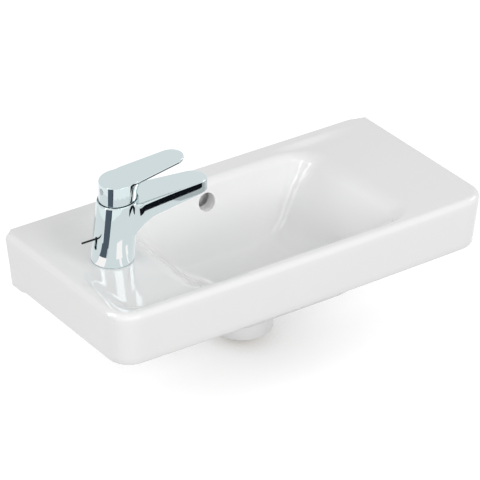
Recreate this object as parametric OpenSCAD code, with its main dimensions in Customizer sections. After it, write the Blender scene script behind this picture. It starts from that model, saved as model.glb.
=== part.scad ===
// Wall-hung hand basin with a side tap deck, a single-lever mixer tap and a pop-up waste.
// Origin: midway between the two wall-fixing holes, on the wall face.
// +X runs along the basin to the right, +Y points into the wall, +Z is up.

/* [Basin] */
// Length of the basin along the wall
basin_w = 500; // [460:1:600]
// How far the basin stands out from the wall
basin_d = 240; // [230:1:300]
// Outward bow of the front edge at its middle
front_bow = 3; // [0:0.5:6]
// Height of the outer apron
apron_h = 66; // [55:1:90]
// How far the apron leans in from top to bottom
apron_draft = 5.5; // [2:0.5:10]
// Radius of the front corners, seen from above
corner_r = 28; // [18:1:45]
// Radius of the outer top edge
rim_fillet = 7; // [4:0.5:9]
// Thickness of the apron
apron_t = 11; // [8:0.5:14]
// Thickness of the bowl's shell
shell_t = 9; // [7:0.5:11]
// Depth of the solid rail against the wall
rail_t = 25; // [20:1:28]
// How much lower than the apron the rail ends
rail_drop = 3; // [1:0.5:8]
// Height of the rim above the wall-fixing holes
rim_z = 45; // [40:1:50]

/* [Bowl] */
// Width of the shelf between the bowl and the right end
shelf_w = 106; // [90:1:125]
// Width of the ledge between the bowl and the wall
ledge_d = 30; // [28:1:40]
// Width of the front rim
front_rim = 15; // [12:0.5:20]
// Radius of the bowl's corners, seen from above
bowl_corner_r = 32; // [24:1:40]
// Depth of the bowl at the drain
bowl_depth = 113; // [100:1:120]
// Depth at which the bowl's walls meet its floor
floor_edge = 86; // [75:1:92]
// Share of the way in to the drain at which the walls meet the floor
wall_reach = 0.42; // [0.3:0.01:0.5]
// Distance of the drain's centre from the wall
drain_out = 104; // [95:1:120]
// Height of the drain boss below the bowl's lowest point
boss_h = 41; // [41:1:60]
// Diameter of the drain boss
boss_d = 73; // [70:1:80]

/* [Tap deck] */
// Width of the tap deck, from the left end to the bowl
deck_w = 111; // [105:1:125]
// How far the tap deck lies below the rim
deck_drop = 5; // [3:0.5:8]
// Thickness of the tap deck
deck_t = 13; // [10:0.5:18]
// Fall of the right shelf towards the bowl's back corner
shelf_fall = 4; // [1:0.5:6]
// Distance of the tap hole from the left end
tap_in = 72; // [64:1:78]
// Distance of the tap hole from the wall
tap_out = 112; // [100:1:125]

/* [Holes in the ceramic] */
// Diameter of the tap hole
tap_hole_d = 35; // [33:0.5:37]
// Diameter of the drain hole
drain_hole_d = 46; // [45:0.5:48]
// Diameter of the overflow hole
overflow_d = 22; // [16:1:26]
// Depth of the overflow hole's centre below the rim
overflow_z = 25; // [20:1:32]
// Distance between the wall-fixing holes
fixing_pitch = 280; // [278:1:300]
// Diameter of the wall-fixing holes
fixing_d = 14; // [10:0.5:16]

/* [Mixer body] */
// Diameter of the mixer at its base
mixer_base_d = 48; // [46:0.5:54]
// Diameter of the mixer at the joint below the lever
mixer_top_d = 46.6; // [46:0.1:50]
// Height of the joint's centre above the deck
joint_h = 73.6; // [70:0.5:85]
// How far forward the joint's centre is from the base's centre
joint_lean = 8.3; // [5:0.1:12]
// Backward tilt of the lever's turning axis
cap_tilt = 6; // [3:0.5:9]
// Reach from the tap hole to the centre of the aerator
spout_reach = 107; // [95:1:125]
// Radius of the spout's tip, seen from above
spout_tip_r = 15.8; // [15:0.1:18]
// Height of the spout's top above the deck, at its tip
spout_top = 69.5; // [66:0.5:73]
// Thickness of the spout at its tip
spout_t = 14.5; // [13:0.5:16]
// Radius of the curve under the spout's root
spout_root_r = 26; // [20:1:30]
// Diameter of the mixer's spigot in the tap hole
spigot_d = 32; // [31:0.5:33]
// Length of that spigot
spigot_h = 8; // [6:0.5:10]

/* [Lever] */
// Radius of the lever's cap at the joint
cap_r = 21.3; // [20.5:0.1:21.5]
// Height of the lever's top above the joint
cap_h = 22.9; // [20:0.1:26]
// Forward lean of the cap from its turning axis
cap_lean = 7.5; // [6:0.5:9]
// Distance from the cap's top centre to the centre of the lever's tip
lever_reach = 68; // [55:1:80]
// Radius of the lever's tip
lever_tip_r = 15.5; // [12:0.5:18]
// Thickness of the lever's edge
lever_t = 4.5; // [3.5:0.5:6]
// Wall of the cap
cap_wall = 2; // [1.5:0.1:2.2]
// Largest lift of the lever, in degrees
lever_lift = 20; // [15:1:22]

/* [Cartridge] */
// Radius of the cartridge
cartridge_r = 15; // [14:0.1:15.2]
// Height of the lever's pivot below the joint
pivot_drop = 1; // [0.5:0.1:1.5]
// Distance from the pivot to the lever spindle's ball
ball_arm = 12; // [11:0.5:13]
// Thickness of each ceramic disc
disc_t = 3; // [2.5:0.1:3.5]
// Radius of the pivot pin
pin_r = 1.5; // [1.2:0.1:1.8]

/* [Pop-up control] */
// Radius of the pull rod
rod_r = 2.5; // [2:0.1:3]
// Radius of the pull pin
pull_pin_r = 2; // [1.5:0.1:2.2]
// Height of the pull pin above the deck, at the top of its slot
pull_pin_z = 31.3; // [29:0.1:36]
// How far the pull pin stands out behind the mixer
pull_pin_out = 18.7; // [12:0.1:25]
// Travel of the pull rod
rod_travel = 11; // [8:0.5:12]
// Length of the pull rod below the deck
rod_below = 105; // [90:1:120]
// Travel of the plug
plug_travel = 8; // [6:0.5:10]

/* [Fits] */
// Radial gap of a running fit
run_gap = 0.06; // [0.03:0.01:0.1]
// Gap between parts that pass one another
pass_gap = 0.3; // [0.2:0.05:0.5]

/* [Hidden] */

WHITE = "white";
CHROME = "lightsteelblue";
BRASS = "darkkhaki";
RUBBER = "dimgray";
PLASTIC = "gainsboro";
STEEL = "silver";
CERAMIC = "linen";

// Overshoot of cutting shapes, so that no cut ends flush
over = 1;
// Points in each quarter turn of the ceramic outlines, and steps along their front
arc_steps = 12;
front_steps = 10;
half_w = basin_w / 2;
// The drain lies on the basin's middle; these lie left and right of it
bowl_left = half_w - deck_w;
bowl_right = half_w - shelf_w;
tap_x = half_w - tap_in;

// Placing: each module puts its children in one part's own frame
module rim_frame() { translate([0, 0, rim_z]) children(); }
module mixer_frame() { translate([-tap_x, -tap_out, rim_z - deck_drop]) children(); }
module cap_frame() {
  mixer_frame() translate([joint_lean, 0, joint_h]) rotate([0, -cap_tilt, 0]) children();
}
module waste_frame() { translate([0, -drain_out, rim_z - bowl_depth]) children(); }

// Small shapes
module ring(r_out, r_in, z0, z1, fn = 96) {
  translate([0, 0, z0])
    difference() {
      cylinder(r = r_out, h = z1 - z0, $fn = fn);
      translate([0, 0, -over]) cylinder(r = r_in, h = z1 - z0 + 2 * over, $fn = fn);
    }
}
module disc(r, z0, z1, fn = 96) { translate([0, 0, z0]) cylinder(r = r, h = z1 - z0, $fn = fn); }
module block(x0, x1, y0, y1, z0, z1) { translate([x0, y0, z0]) cube([x1 - x0, y1 - y0, z1 - z0]); }
// A round bar from p to q, both in one plane parallel to the XZ plane or tilted from it
module bar(p, q, r) {
  v = q - p;
  len = norm(v);
  translate(p)
    rotate([0, acos(v.z / len), atan2(v.y, v.x)]) rotate([0, 0, 45])
      cylinder(r = r, h = len, $fn = 48);
}
// Two unequal discs joined by their tangents
module tapered_outline(x1, r1, x2, r2) {
  a = acos((r1 - r2) / (x2 - x1));
  translate([x1, 0]) circle(r = r1, $fn = 128);
  translate([x2, 0]) circle(r = r2, $fn = 96);
  polygon([
    [x1 + r1 * cos(a), r1 * sin(a)], [x1 + r1 * cos(a), -r1 * sin(a)],
    [x2 + r2 * cos(a), -r2 * sin(a)], [x2 + r2 * cos(a), r2 * sin(a)]
  ]);
}

// Outlines of the ceramic: rings of points joined into one skin
function arc(cx, cy, r, from) = [
  for (i = [0:arc_steps]) [cx + r * cos(from + 90 * i / arc_steps), cy + r * sin(from + 90 * i / arc_steps)]
];
function side(p, q, steps) = [for (i = [1:steps - 1]) p + (q - p) * i / steps];
// Rounded rectangle, anticlockwise from its right back corner; its front side has extra points
function rounded(x0, x1, y0, y1, r_back, r_front) = concat(
  arc(x1 - r_back, y1 - r_back, r_back, 0),
  arc(x0 + r_back, y1 - r_back, r_back, 90),
  arc(x0 + r_front, y0 + r_front, r_front, 180),
  side([x0 + r_front, y0], [x1 - r_front, y0], front_steps),
  arc(x1 - r_front, y0 + r_front, r_front, 270)
);
function at_height(outline, z) = [for (p = outline) [p.x, p.y, z]];
module skin(rings) {
  n = len(rings[0]);
  m = len(rings);
  polyhedron(
    points = [for (r = rings) each r],
    faces = concat(
      [[for (j = [0:n - 1]) j]],
      [for (i = [0:m - 2], j = [0:n - 1]) [i * n + j, (i + 1) * n + j, (i + 1) * n + (j + 1) % n]],
      [for (i = [0:m - 2], j = [0:n - 1]) [i * n + j, (i + 1) * n + (j + 1) % n, i * n + (j + 1) % n]],
      [[for (j = [0:n - 1]) m * n - 1 - j]]
    ),
    convexity = 6
  );
}

// Outside of the basin: leaning apron, rounded top edge, flat back
back_corner_r = 2;
bottom_fillet = 3;
fillet_steps = 6;
function bowed(p) = [p.x, p.y + front_bow * (p.y / basin_d) * (1 - pow(p.x / half_w, 2))];
function outer_outline(inset) = [
  for (p = rounded(-half_w + inset, half_w - inset, -basin_d + front_bow + inset, 0, back_corner_r,
                   corner_r - inset / 2)) bowed(p)
];
function draft_at(depth) = apron_draft * (depth - rim_fillet) / (apron_h - rim_fillet);
module outer_shape(h) {
  skin(concat(
    [for (i = [0:3]) let (a = 90 * i / 3)
      at_height(outer_outline(draft_at(h) + bottom_fillet * (1 - sin(a))), -h + bottom_fillet * (1 - cos(a)))],
    [for (i = [0:fillet_steps]) let (a = 90 * i / fillet_steps)
      at_height(outer_outline(rim_fillet * (1 - cos(a))), -rim_fillet * (1 - sin(a)))]
  ));
}

// Bowl: each ring lies a share u of the way from the top outline to the land round the drain's seat
seat_r = 33;
land_r = seat_r + 1;
edge_drop = 8;
edge_left = 12;
edge_right = 16;
edge_back = 8;
edge_front = 4;
function mix(a, b, u) = a + (b - a) * u;
// The side walls lean in most near the top, and the corners grow tighter half-way down
left_ease = 2.2;
right_ease = 1.25;
corner_dip = 90;
function corner_at(u) = mix(bowl_corner_r, land_r, u) - corner_dip * u * (1 - u);
function bowl_outline(u, grow) = rounded(
  mix(-land_r, -bowl_left, pow(1 - u, left_ease)) - grow,
  mix(land_r, bowl_right, pow(1 - u, right_ease)) + grow,
  mix(-basin_d + front_rim, -drain_out - land_r, u) - grow,
  mix(-ledge_d, -drain_out + land_r, u) + grow,
  corner_at(u) + grow,
  corner_at(u) + grow
);
// Depth line of the bowl: a straight wall, a curve and a floor that falls to the drain
bend = 0.2;
function bezier(p, q, r, t) = p * pow(1 - t, 2) + q * 2 * t * (1 - t) + r * pow(t, 2);
wall_foot = [wall_reach, -floor_edge];
drain_end = [1, -bowl_depth];
bowl_line = concat(
  [for (i = [0:8])
    bezier(drain_end + (wall_foot - drain_end) * (1 - bend), wall_foot, wall_foot * (1 - bend), i / 8)],
  [for (t = [0.65, 0.5, 0.35, 0.2]) wall_foot * t]
);
// The top edge rolls outwards, further on the side of the shelf
function rolled(u, a) = [
  for (p = bowl_outline(u, 0))
    let (s = 1 - cos(a),
         east = max(0, p.x) / bowl_right,
         west = max(0, -p.x) / bowl_left,
         north = max(0, p.y + drain_out) / (drain_out - ledge_d),
         south = max(0, -p.y - drain_out) / (basin_d - front_rim - drain_out))
    [p.x + s * (edge_right * pow(east, 3) - edge_left * pow(west, 3)),
     p.y + s * (edge_back * pow(north, 3) - edge_front * pow(south, 3))]
];
edge_share = wall_reach * edge_drop / floor_edge;
// Near the tap deck the edge sinks to the deck's level
sink_l = 40;
function lowered(outline, z) = [
  for (p = outline) [p.x, p.y, z - deck_drop * min(1, max(0, (-p.x - bowl_left + sink_l) / sink_l))]
];
module bowl_space() {
  skin(concat(
    [at_height(bowl_outline(1, 0), -bowl_depth)],
    [for (q = bowl_line) at_height(bowl_outline(q[0], 0), q[1])],
    [for (i = [0:5]) let (a = 90 * i / 5)
      lowered(rolled(edge_share * (1 - sin(a)), a), -edge_drop * (1 - sin(a)))],
    [at_height(rolled(0, 90), over)]
  ));
}
module bowl_shell() {
  skin(concat(
    [at_height(bowl_outline(1, shell_t), -bowl_depth - shell_t)],
    [for (q = bowl_line) at_height(bowl_outline(q[0], shell_t), q[1] - shell_t)],
    [at_height(bowl_outline(edge_share, shell_t), -deck_drop - deck_t)]
  ));
}
// Sunken deck round the tap, with soft slopes up to the rim
deck_margin = 14;
deck_slope = 26;
deck_back_r = 46;
deck_lap = 45;
deck_front_r = corner_r - deck_margin + 4;
function smooth(t) = t * t * (3 - 2 * t);
function deck_outline(in) = rounded(
  -half_w + deck_margin + in, -bowl_left + deck_lap, -basin_d + deck_margin + in / 6, -deck_margin - in,
  deck_back_r, deck_front_r + in / 3
);
module deck_space() {
  skin(concat(
    [for (i = [0:6]) let (t = i / 6)
      at_height(deck_outline(deck_slope * (1 - t)), -deck_drop * (1 - smooth(t)))],
    [at_height(deck_outline(0), over)]
  ));
}
// The right shelf falls towards the bowl's back corner
shelf_lap = 30;
shelf_back = 4;
module shelf_space() {
  back = -ledge_d + shelf_back;
  right = half_w - deck_margin;
  left = bowl_right - shelf_lap;
  front = -basin_d + front_rim;
  skin([
    [[right, back, 0], [left, back, -shelf_fall], [left, front, 0]],
    [[right, back + rim_fillet / 2, over], [left, back + rim_fillet / 2, over], [left, front, over]]
  ]);
}
// Hollow under the tap deck and under the shelf
module underside_space() {
  h = apron_h + over;
  skin([
    at_height(outer_outline(draft_at(apron_h) + apron_t), -h),
    at_height(outer_outline(apron_t), -deck_drop - deck_t)
  ]);
}
// Overflow channel behind the bowl, from the overflow hole down to the drain hole
channel_w = 30;
channel_wall = 12;
channel_t = 10;
channel_high = bowl_depth + 15;
channel_low = channel_high + 14;
spine_wall = 13;
spine_floor = 7;
drain_r = drain_hole_d / 2;
boss_depth = bowl_depth + boss_h;
boss_rebate = 4;
boss_rebate_r = 31;
seat_drop = 4;
shell_sink = 2;
module basin_solid() {
  difference() {
    outer_shape(apron_h);
    underside_space();
  }
  intersection() {
    outer_shape(apron_h + rail_drop);
    block(-half_w, half_w, -rail_t, over, -apron_h - rail_drop - over, -deck_drop - shell_sink);
  }
  intersection() {
    bowl_shell();
    block(-half_w, half_w, -basin_d + apron_t / 2, 0, -bowl_depth - 2 * shell_t, 0);
  }
  translate([0, -drain_out, 0]) disc(boss_d / 2, -boss_depth, -bowl_depth);
  spine_w = channel_w + 2 * spine_wall;
  block(-spine_w / 2, spine_w / 2, -drain_out + boss_d / 4, 0, -channel_low - spine_floor, -apron_h);
}
module basin() {
  color(WHITE) rim_frame() difference() {
    basin_solid();
    bowl_space();
    deck_space();
    shelf_space();
    translate([-tap_x, -tap_out, 0]) disc(tap_hole_d / 2, -deck_drop - deck_t - over, over);
    translate([0, -drain_out, 0]) {
      disc(seat_r, -bowl_depth - seat_drop, -bowl_depth + over);
      disc(drain_r, -boss_depth - over, -bowl_depth + over);
      disc(boss_rebate_r, -boss_depth - over, -boss_depth + boss_rebate);
    }
    translate([0, -channel_wall, -overflow_z])
      rotate([90, 0, 0]) cylinder(d = overflow_d, h = ledge_d - channel_wall + overflow_z, $fn = 96);
    block(-channel_w / 2, channel_w / 2, -channel_wall - channel_t, -channel_wall,
          -channel_low, -overflow_z + overflow_d / 2);
    block(-channel_w / 2, channel_w / 2, -drain_out, -channel_wall, -channel_low, -channel_high);
    for (x = [-1, 1])
      translate([x * fixing_pitch / 2, over, -rim_z])
        rotate([90, 0, 0]) cylinder(d = fixing_d, h = rail_t + 2 * over, $fn = 64);
  }
}

// Mixer body: a leaning cone with the spout grown from its front
body_base_r = mixer_base_d / 2;
body_top_r = mixer_top_d / 2;
body_lean = atan2(joint_lean, joint_h);
cup_gap = 0.75;
cup_r = cap_r / cos(cap_lean) + cup_gap;
// The cap's rear edge dips into the cup when the lever is lifted
cup_clear = 1.2;
cup_depth = cap_r * sin(lever_lift) + pivot_drop + cup_clear;
collar_r = cartridge_r + 2;
// Gap of parts that are pushed together by hand
slip_gap = 0.1;
bore_r = cartridge_r + 2 * slip_gap;
// Heights inside the cartridge, from the joint down
ball_r = 2.8;
ball_neck_r = 1.8;
ball_z = -pivot_drop - ball_arm;
pocket_floor = ball_z - ball_r - pass_gap;
carrier_top = ball_z + 2;
carrier_bottom = pocket_floor - 1;
moving_bottom = carrier_bottom - disc_t;
fixed_bottom = moving_bottom - disc_t;
base_t = 3;
base_bottom = fixed_bottom - base_t;
port_seal_t = 0.6;
bore_floor = base_bottom - port_seal_t;
port_r = 2.8;
inlet_ports = [[-4, 6.5], [-4, -6.5]];
outlet_port = [7.5, 0];
// Passages, in the mixer's frame
inlet_at = [2, 8.5];
inlet_thread_r = 4.5;
inlet_thread_l = 14;
stud_at = 11.5;
stud_r = 3;
stud_depth = 20;
seal_out = body_base_r - 2;
seal_in = seal_out - 3;
seal_t = 1.4;
rod_at = -12;
rod_guide_h = 11;
spout_slope = 1.8;
spout_low = spout_top - spout_t;
root_x = 3.2;
root_body_r = body_top_r + 0.1;
root_drop = 4.5;
root_at = 26;
root_r = body_top_r + 0.3;
underside_z = spout_low - root_drop;
chamber_r = 10.5;
chamber_wall = 4;
chamber_top = spout_top - chamber_wall;
// Half the size of blocks that cut everything on one side
far = 60;
module above_joint() { cap_frame() block(-far, far, -far, far, 0, 2 * far); }
module spout_shape() {
  // The underside is turned about the body, so that it flows into it all round
  reach = spout_reach + spout_tip_r - root_x;
  arc_mid = root_body_r + spout_root_r;
  intersection() {
    translate([0, 0, -over]) linear_extrude(height = spout_top + far)
      tapered_outline(root_at, root_r, spout_reach, spout_tip_r);
    translate([root_x, 0, 0]) rotate_extrude($fn = 160) polygon(concat(
      [[0, spout_top + far], [0, underside_z - spout_root_r], [root_body_r, underside_z - spout_root_r]],
      [for (i = [0:12]) let (a = 180 - 90 * i / 12)
        [arc_mid + spout_root_r * cos(a), underside_z - spout_root_r + spout_root_r * sin(a)]],
      [[reach + over, spout_low], [reach + over, spout_top + far]]
    ));
    translate([spout_reach, 0, spout_top]) rotate([0, spout_slope, 0])
      block(-spout_reach - far, far, -far, far, -spout_top - far, 0);
  }
}
module pull_slot() {
  w = pull_pin_r + pass_gap;
  for (z = [pull_pin_z, pull_pin_z - rod_travel])
    translate([rod_at, 0, z]) rotate([0, -90, 0]) cylinder(r = w, h = body_base_r, $fn = 48);
  block(rod_at - body_base_r, rod_at, -w, w, pull_pin_z - rod_travel, pull_pin_z);
}
function cap_point(x, y, z) = [
  joint_lean + x * cos(cap_tilt) - z * sin(cap_tilt), y, joint_h + x * sin(cap_tilt) + z * cos(cap_tilt)
];
module water_passages() {
  for (s = [0, 1]) {
    y = inlet_at[1] * (1 - 2 * s);
    translate([inlet_at[0], y, 0]) disc(inlet_thread_r, -spigot_h - over, inlet_thread_l - spigot_h, 48);
    bar([inlet_at[0], y, inlet_thread_l - spigot_h - over],
        cap_point(inlet_ports[s][0], inlet_ports[s][1], bore_floor + over), port_r);
  }
  // Down from the port, across, and along the spout; each leg has its own radius
  drop = cap_point(outlet_port[0], 0, bore_floor + over);
  low = [drop.x, 0, drop.z - 7];
  turn = [46, 0, spout_low];
  bar(drop, low - [0, 0, 1.6], port_r + 0.4);
  bar(low, turn, port_r);
  bar(turn - [3, 0, 0.2], [spout_reach, 0, chamber_top - chamber_wall], port_r + 0.2);
  translate([spout_reach, 0, 0]) disc(chamber_r, spout_low - 10, chamber_top, 64);
}
// Cone between two heights; the radii are those at the deck and at the joint
module body_cone(z0, z1) {
  rate = (body_top_r - body_base_r) / joint_h;
  translate([0, 0, z0])
    cylinder(r1 = body_base_r + rate * z0, r2 = body_base_r + rate * z1, h = z1 - z0, $fn = 160);
}
module mixer_body() {
  color(CHROME) difference() {
    mixer_frame() {
      difference() {
        rotate([0, body_lean, 0]) body_cone(-body_base_r, joint_h + body_top_r);
        block(-far, far, -far, far, -far, 0);
      }
      spout_shape();
      disc(spigot_d / 2, -spigot_h, over);
    }
    above_joint();
    cap_frame() {
      difference() {
        disc(cup_r, -cup_depth, over, 128);
        disc(collar_r, -cup_depth - over, 2 * over);
      }
      disc(bore_r, bore_floor, 2 * over);
      disc(collar_r + over, nut_seat_z, 2 * over);
    }
    mixer_frame() {
      water_passages();
      pull_slot();
      translate([rod_at, 0, 0]) disc(rod_r + run_gap, -spigot_h - over, rod_guide_h + over, 48);
      translate([rod_at, 0, 0]) disc(rod_r + pass_gap, rod_guide_h, pull_pin_z + rod_r + 2, 48);
      translate([stud_at, 0, 0]) disc(stud_r + run_gap, -spigot_h - over, stud_depth - spigot_h, 48);
      ring(seal_out, seal_in, -over, seal_t);
    }
  }
}
module base_seal() {
  color(RUBBER) mixer_frame() ring(seal_out - slip_gap, seal_in + slip_gap, 0, seal_t);
}

// Fixing of the mixer under the deck
stud_l = 82;
gasket_t = 2;
washer_t = 2.5;
clamp_r = 25;
clamp_slot_w = 29.6;
clamp_slot_x = 6.5;
clamp_nut_h = 10;
clamp_nut_r = 5.2;
nut_foot_h = 1.5;
module mounting_stud() {
  color(STEEL) mixer_frame() translate([stud_at, 0, stud_depth - spigot_h - stud_l])
    cylinder(r = stud_r, h = stud_l, $fn = 48);
}
// Horseshoe plate: open at the rear for the hoses and the pull rod
module horseshoe(z0, z1) {
  difference() {
    disc(clamp_r, z0, z1);
    block(-clamp_r - over, clamp_slot_x, -clamp_slot_w / 2, clamp_slot_w / 2, z0 - over, z1 + over);
    translate([stud_at, 0, 0]) disc(stud_r + pass_gap, z0 - over, z1 + over, 48);
  }
}
module clamp_gasket() { color(RUBBER) mixer_frame() horseshoe(-deck_t - gasket_t, -deck_t); }
module clamp_washer() {
  color(STEEL) mixer_frame() horseshoe(-deck_t - gasket_t - washer_t, -deck_t - gasket_t);
}
module clamp_nut() {
  top = -deck_t - gasket_t - washer_t;
  color(BRASS) mixer_frame() translate([stud_at, 0, 0]) difference() {
    union() {
      disc(clamp_nut_r, top - clamp_nut_h, top, 6);
      disc(clamp_nut_r + pass_gap, top - nut_foot_h, top, 48);
    }
    disc(stud_r + run_gap, top - clamp_nut_h - over, top + over, 48);
  }
}

// Cartridge, in the frame of the joint
shoulder_z = -7;
roof_t = 1.5;
neck_r = 11;
neck_top = 1;
cavity_r = cartridge_r - 2.5;
rotor_r = 8.3;
rotor_flange_z = carrier_top + 0.4;
rotor_top = 4.5;
// The ring nut's flange lies in a step round the bore
nut_seat_z = -pivot_drop - 1;
nut_top = 0.8;
nut_slot_w = 3;
module cartridge_housing() {
  color(PLASTIC) cap_frame() difference() {
    union() {
      disc(cartridge_r, fixed_bottom, shoulder_z);
      disc(neck_r, shoulder_z - over, neck_top);
    }
    disc(cavity_r, fixed_bottom - over, shoulder_z - roof_t);
    disc(rotor_r + run_gap, shoulder_z - roof_t - over, neck_top + over);
  }
}
module ports(r, z0, z1) {
  for (p = concat(inlet_ports, [outlet_port]))
    translate([p[0], p[1], 0]) disc(r, z0, z1, 48);
}
port_seal_w = 1.4;
port_seal_seat = 1;
module cartridge_base() {
  color(PLASTIC) cap_frame() difference() {
    disc(cartridge_r, base_bottom, fixed_bottom);
    ports(port_r, base_bottom - over, fixed_bottom + over);
    ports(port_r + port_seal_w + slip_gap, base_bottom - over, base_bottom + port_seal_seat);
  }
}
module port_seals() {
  color(RUBBER) cap_frame() difference() {
    ports(port_r + port_seal_w, bore_floor, base_bottom + port_seal_seat);
    ports(port_r, bore_floor - over, base_bottom + port_seal_seat + over);
  }
}
module fixed_disc() {
  color(CERAMIC) cap_frame() difference() {
    disc(cavity_r - slip_gap, fixed_bottom, moving_bottom);
    ports(port_r - 0.3, fixed_bottom - over, moving_bottom + over);
  }
}
moving_r = 8;
film_t = 0.02;
crossing_r = 3.5;
crossing_x = 1.5;
module moving_disc() {
  color(CERAMIC) cap_frame() difference() {
    disc(moving_r, moving_bottom + film_t, carrier_bottom);
    translate([crossing_x, 0, 0]) disc(crossing_r, moving_bottom - over, moving_bottom + disc_t / 2, 48);
  }
}
module disc_carrier() {
  color(PLASTIC) cap_frame() difference() {
    disc(moving_r, carrier_bottom, carrier_top);
    disc(ball_r + pass_gap, pocket_floor, carrier_top + over, 64);
  }
}
// Rotor: turns with the lever and carries the pivot pin; its slot lets the spindle tilt
spindle_w = 6;
tight_gap = 0.02;
module across_pivot(r, l) {
  translate([0, 0, -pivot_drop]) rotate([90, 0, 0]) cylinder(r = r, h = l, center = true, $fn = 48);
}
module rotor() {
  slot_x = ball_arm * sin(lever_lift) + ball_r;
  slot_y = spindle_w / 2 + slip_gap;
  color(PLASTIC) cap_frame() difference() {
    union() {
      disc(cavity_r - pass_gap, rotor_flange_z, shoulder_z - roof_t - slip_gap);
      disc(rotor_r, rotor_flange_z, rotor_top);
    }
    block(-slot_x, slot_x, -slot_y, slot_y, rotor_flange_z - over, rotor_top + over);
    across_pivot(pin_r + tight_gap, far);
  }
}
module pivot_pin() { color(STEEL) cap_frame() across_pivot(pin_r, 2 * rotor_r - 1.6); }
module retaining_nut() {
  color(BRASS) cap_frame() difference() {
    union() {
      disc(bore_r - slip_gap, shoulder_z, nut_seat_z + slip_gap);
      disc(collar_r - 4 * slip_gap, nut_seat_z, nut_top);
    }
    disc(neck_r + 2 * slip_gap, shoulder_z - over, nut_top + over);
    for (a = [0:90:270]) rotate([0, 0, a])
      block(neck_r + nut_slot_w, collar_r, -nut_slot_w / 2, nut_slot_w / 2,
            nut_top / 2 - over, nut_top + over);
  }
}

// Lever with its cap, spindle, screw and plug
spindle_top = cap_h - lever_t - 0.4;
cavity_top = spindle_top - 4;
socket_r = 9;
socket_low = 8;
socket_gap = 0.05;
screw_z = spindle_top - 3;
screw_r = 2.5;
screw_l = 10;
screw_key_r = 1.4;
plug_r = 3.4;
plug_t = 2.6;
plug_sink = 0.2;
boss_w = 9;
skirt = 0.8;
top_shift = cap_h * tan(cap_lean);
// Where the cap's rear lies at the screw's height
cap_back = screw_z * tan(cap_lean) - cap_r / cos(cap_lean);
module cap_column(r, z0, z1) {
  intersection() {
    rotate([0, cap_lean, 0]) translate([0, 0, -far / 2]) cylinder(r1 = r, r2 = r - 0.15, h = far, $fn = 128);
    block(-far, far, -far, far, z0, z1);
  }
}
module across_cap(r, x0, x1, fn = 48) {
  translate([x0, 0, screw_z]) rotate([0, 90, 0]) cylinder(r = r, h = x1 - x0, $fn = fn);
}
// Tapered plate; its edge is chamfered underneath
module lever_plate() {
  step = 2.2;
  inset = 3;
  hull() {
    translate([0, 0, cap_h - lever_t + step]) linear_extrude(height = lever_t - step)
      tapered_outline(top_shift, cap_r, top_shift + lever_reach, lever_tip_r);
    translate([0, 0, cap_h - lever_t]) linear_extrude(height = step)
      tapered_outline(top_shift, cap_r - inset, top_shift + lever_reach, lever_tip_r - inset);
  }
}
module lever_handle() {
  color(CHROME) cap_frame() difference() {
    union() {
      cap_column(cap_r, -skirt, cap_h - lever_t + over);
      lever_plate();
    }
    difference() {
      cap_column(cap_r - cap_wall, -skirt - over, cavity_top);
      disc(socket_r, socket_low, cavity_top + over);
      block(-cap_r, 0, -boss_w / 2, boss_w / 2, screw_z - 4, cavity_top + over);
    }
    hole = spindle_w / 2 + socket_gap;
    block(-hole, hole, -hole, hole, 0, spindle_top + pass_gap);
    across_cap(screw_r + socket_gap, -far, 0);
    across_cap(plug_r + socket_gap, -far, cap_back + plug_sink + plug_t + pass_gap);
  }
}
module lever_spindle() {
  color(STEEL) cap_frame() difference() {
    union() {
      block(-spindle_w / 2, spindle_w / 2, -spindle_w / 2, spindle_w / 2, -pivot_drop - 4, spindle_top);
      disc(ball_neck_r, ball_z, -pivot_drop, 48);
      translate([0, 0, ball_z]) sphere(r = ball_r, $fn = 48);
    }
    across_pivot(pin_r + run_gap, far);
  }
}
module grub_screw() {
  outer = -spindle_w / 2 - screw_l;
  color(STEEL) cap_frame() difference() {
    across_cap(screw_r, outer, -spindle_w / 2);
    across_cap(screw_key_r, outer - over, outer + screw_l / 4, 6);
  }
}
module index_plug() {
  color(RUBBER) cap_frame() across_cap(plug_r, cap_back + plug_sink, cap_back + plug_sink + plug_t);
}

// Aerator in the spout's tip
module aerator_frame() { mixer_frame() translate([spout_reach, 0, spout_low]) children(); }
aerator_wall = 1.9;
aerator_h = 7;
aerator_lip = 0.6;
groove_depth = 4.5;
groove_pitch = 2.4;
groove_w = 1.5;
rib_w = 0.9;
jet_r = 0.7;
module aerator_ring() {
  color(CHROME) aerator_frame()
    ring(chamber_r - slip_gap, chamber_r - aerator_wall, -aerator_lip, aerator_h - 0.5);
}
module aerator_insert() {
  color(PLASTIC) aerator_frame() difference() {
    disc(chamber_r - aerator_wall - slip_gap, 0, aerator_h);
    for (k = [1:3]) {
      difference() {
        disc(k * groove_pitch, -over, groove_depth, 64);
        disc(k * groove_pitch - groove_w, -2 * over, groove_depth + over, 64);
        block(-chamber_r, chamber_r, -rib_w / 2, rib_w / 2, -2 * over, groove_depth + over);
        block(-rib_w / 2, rib_w / 2, -chamber_r, chamber_r, -2 * over, groove_depth + over);
      }
    }
    for (a = [0:60:300]) rotate([0, 0, a + 15])
      translate([1.9 * groove_pitch, 0, 0]) disc(jet_r, groove_depth - over, aerator_h + over, 24);
  }
}
module aerator_seal() {
  color(RUBBER) aerator_frame() ring(chamber_r - 2 * slip_gap, chamber_r - 3, aerator_h, aerator_h + seal_t);
}

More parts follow.
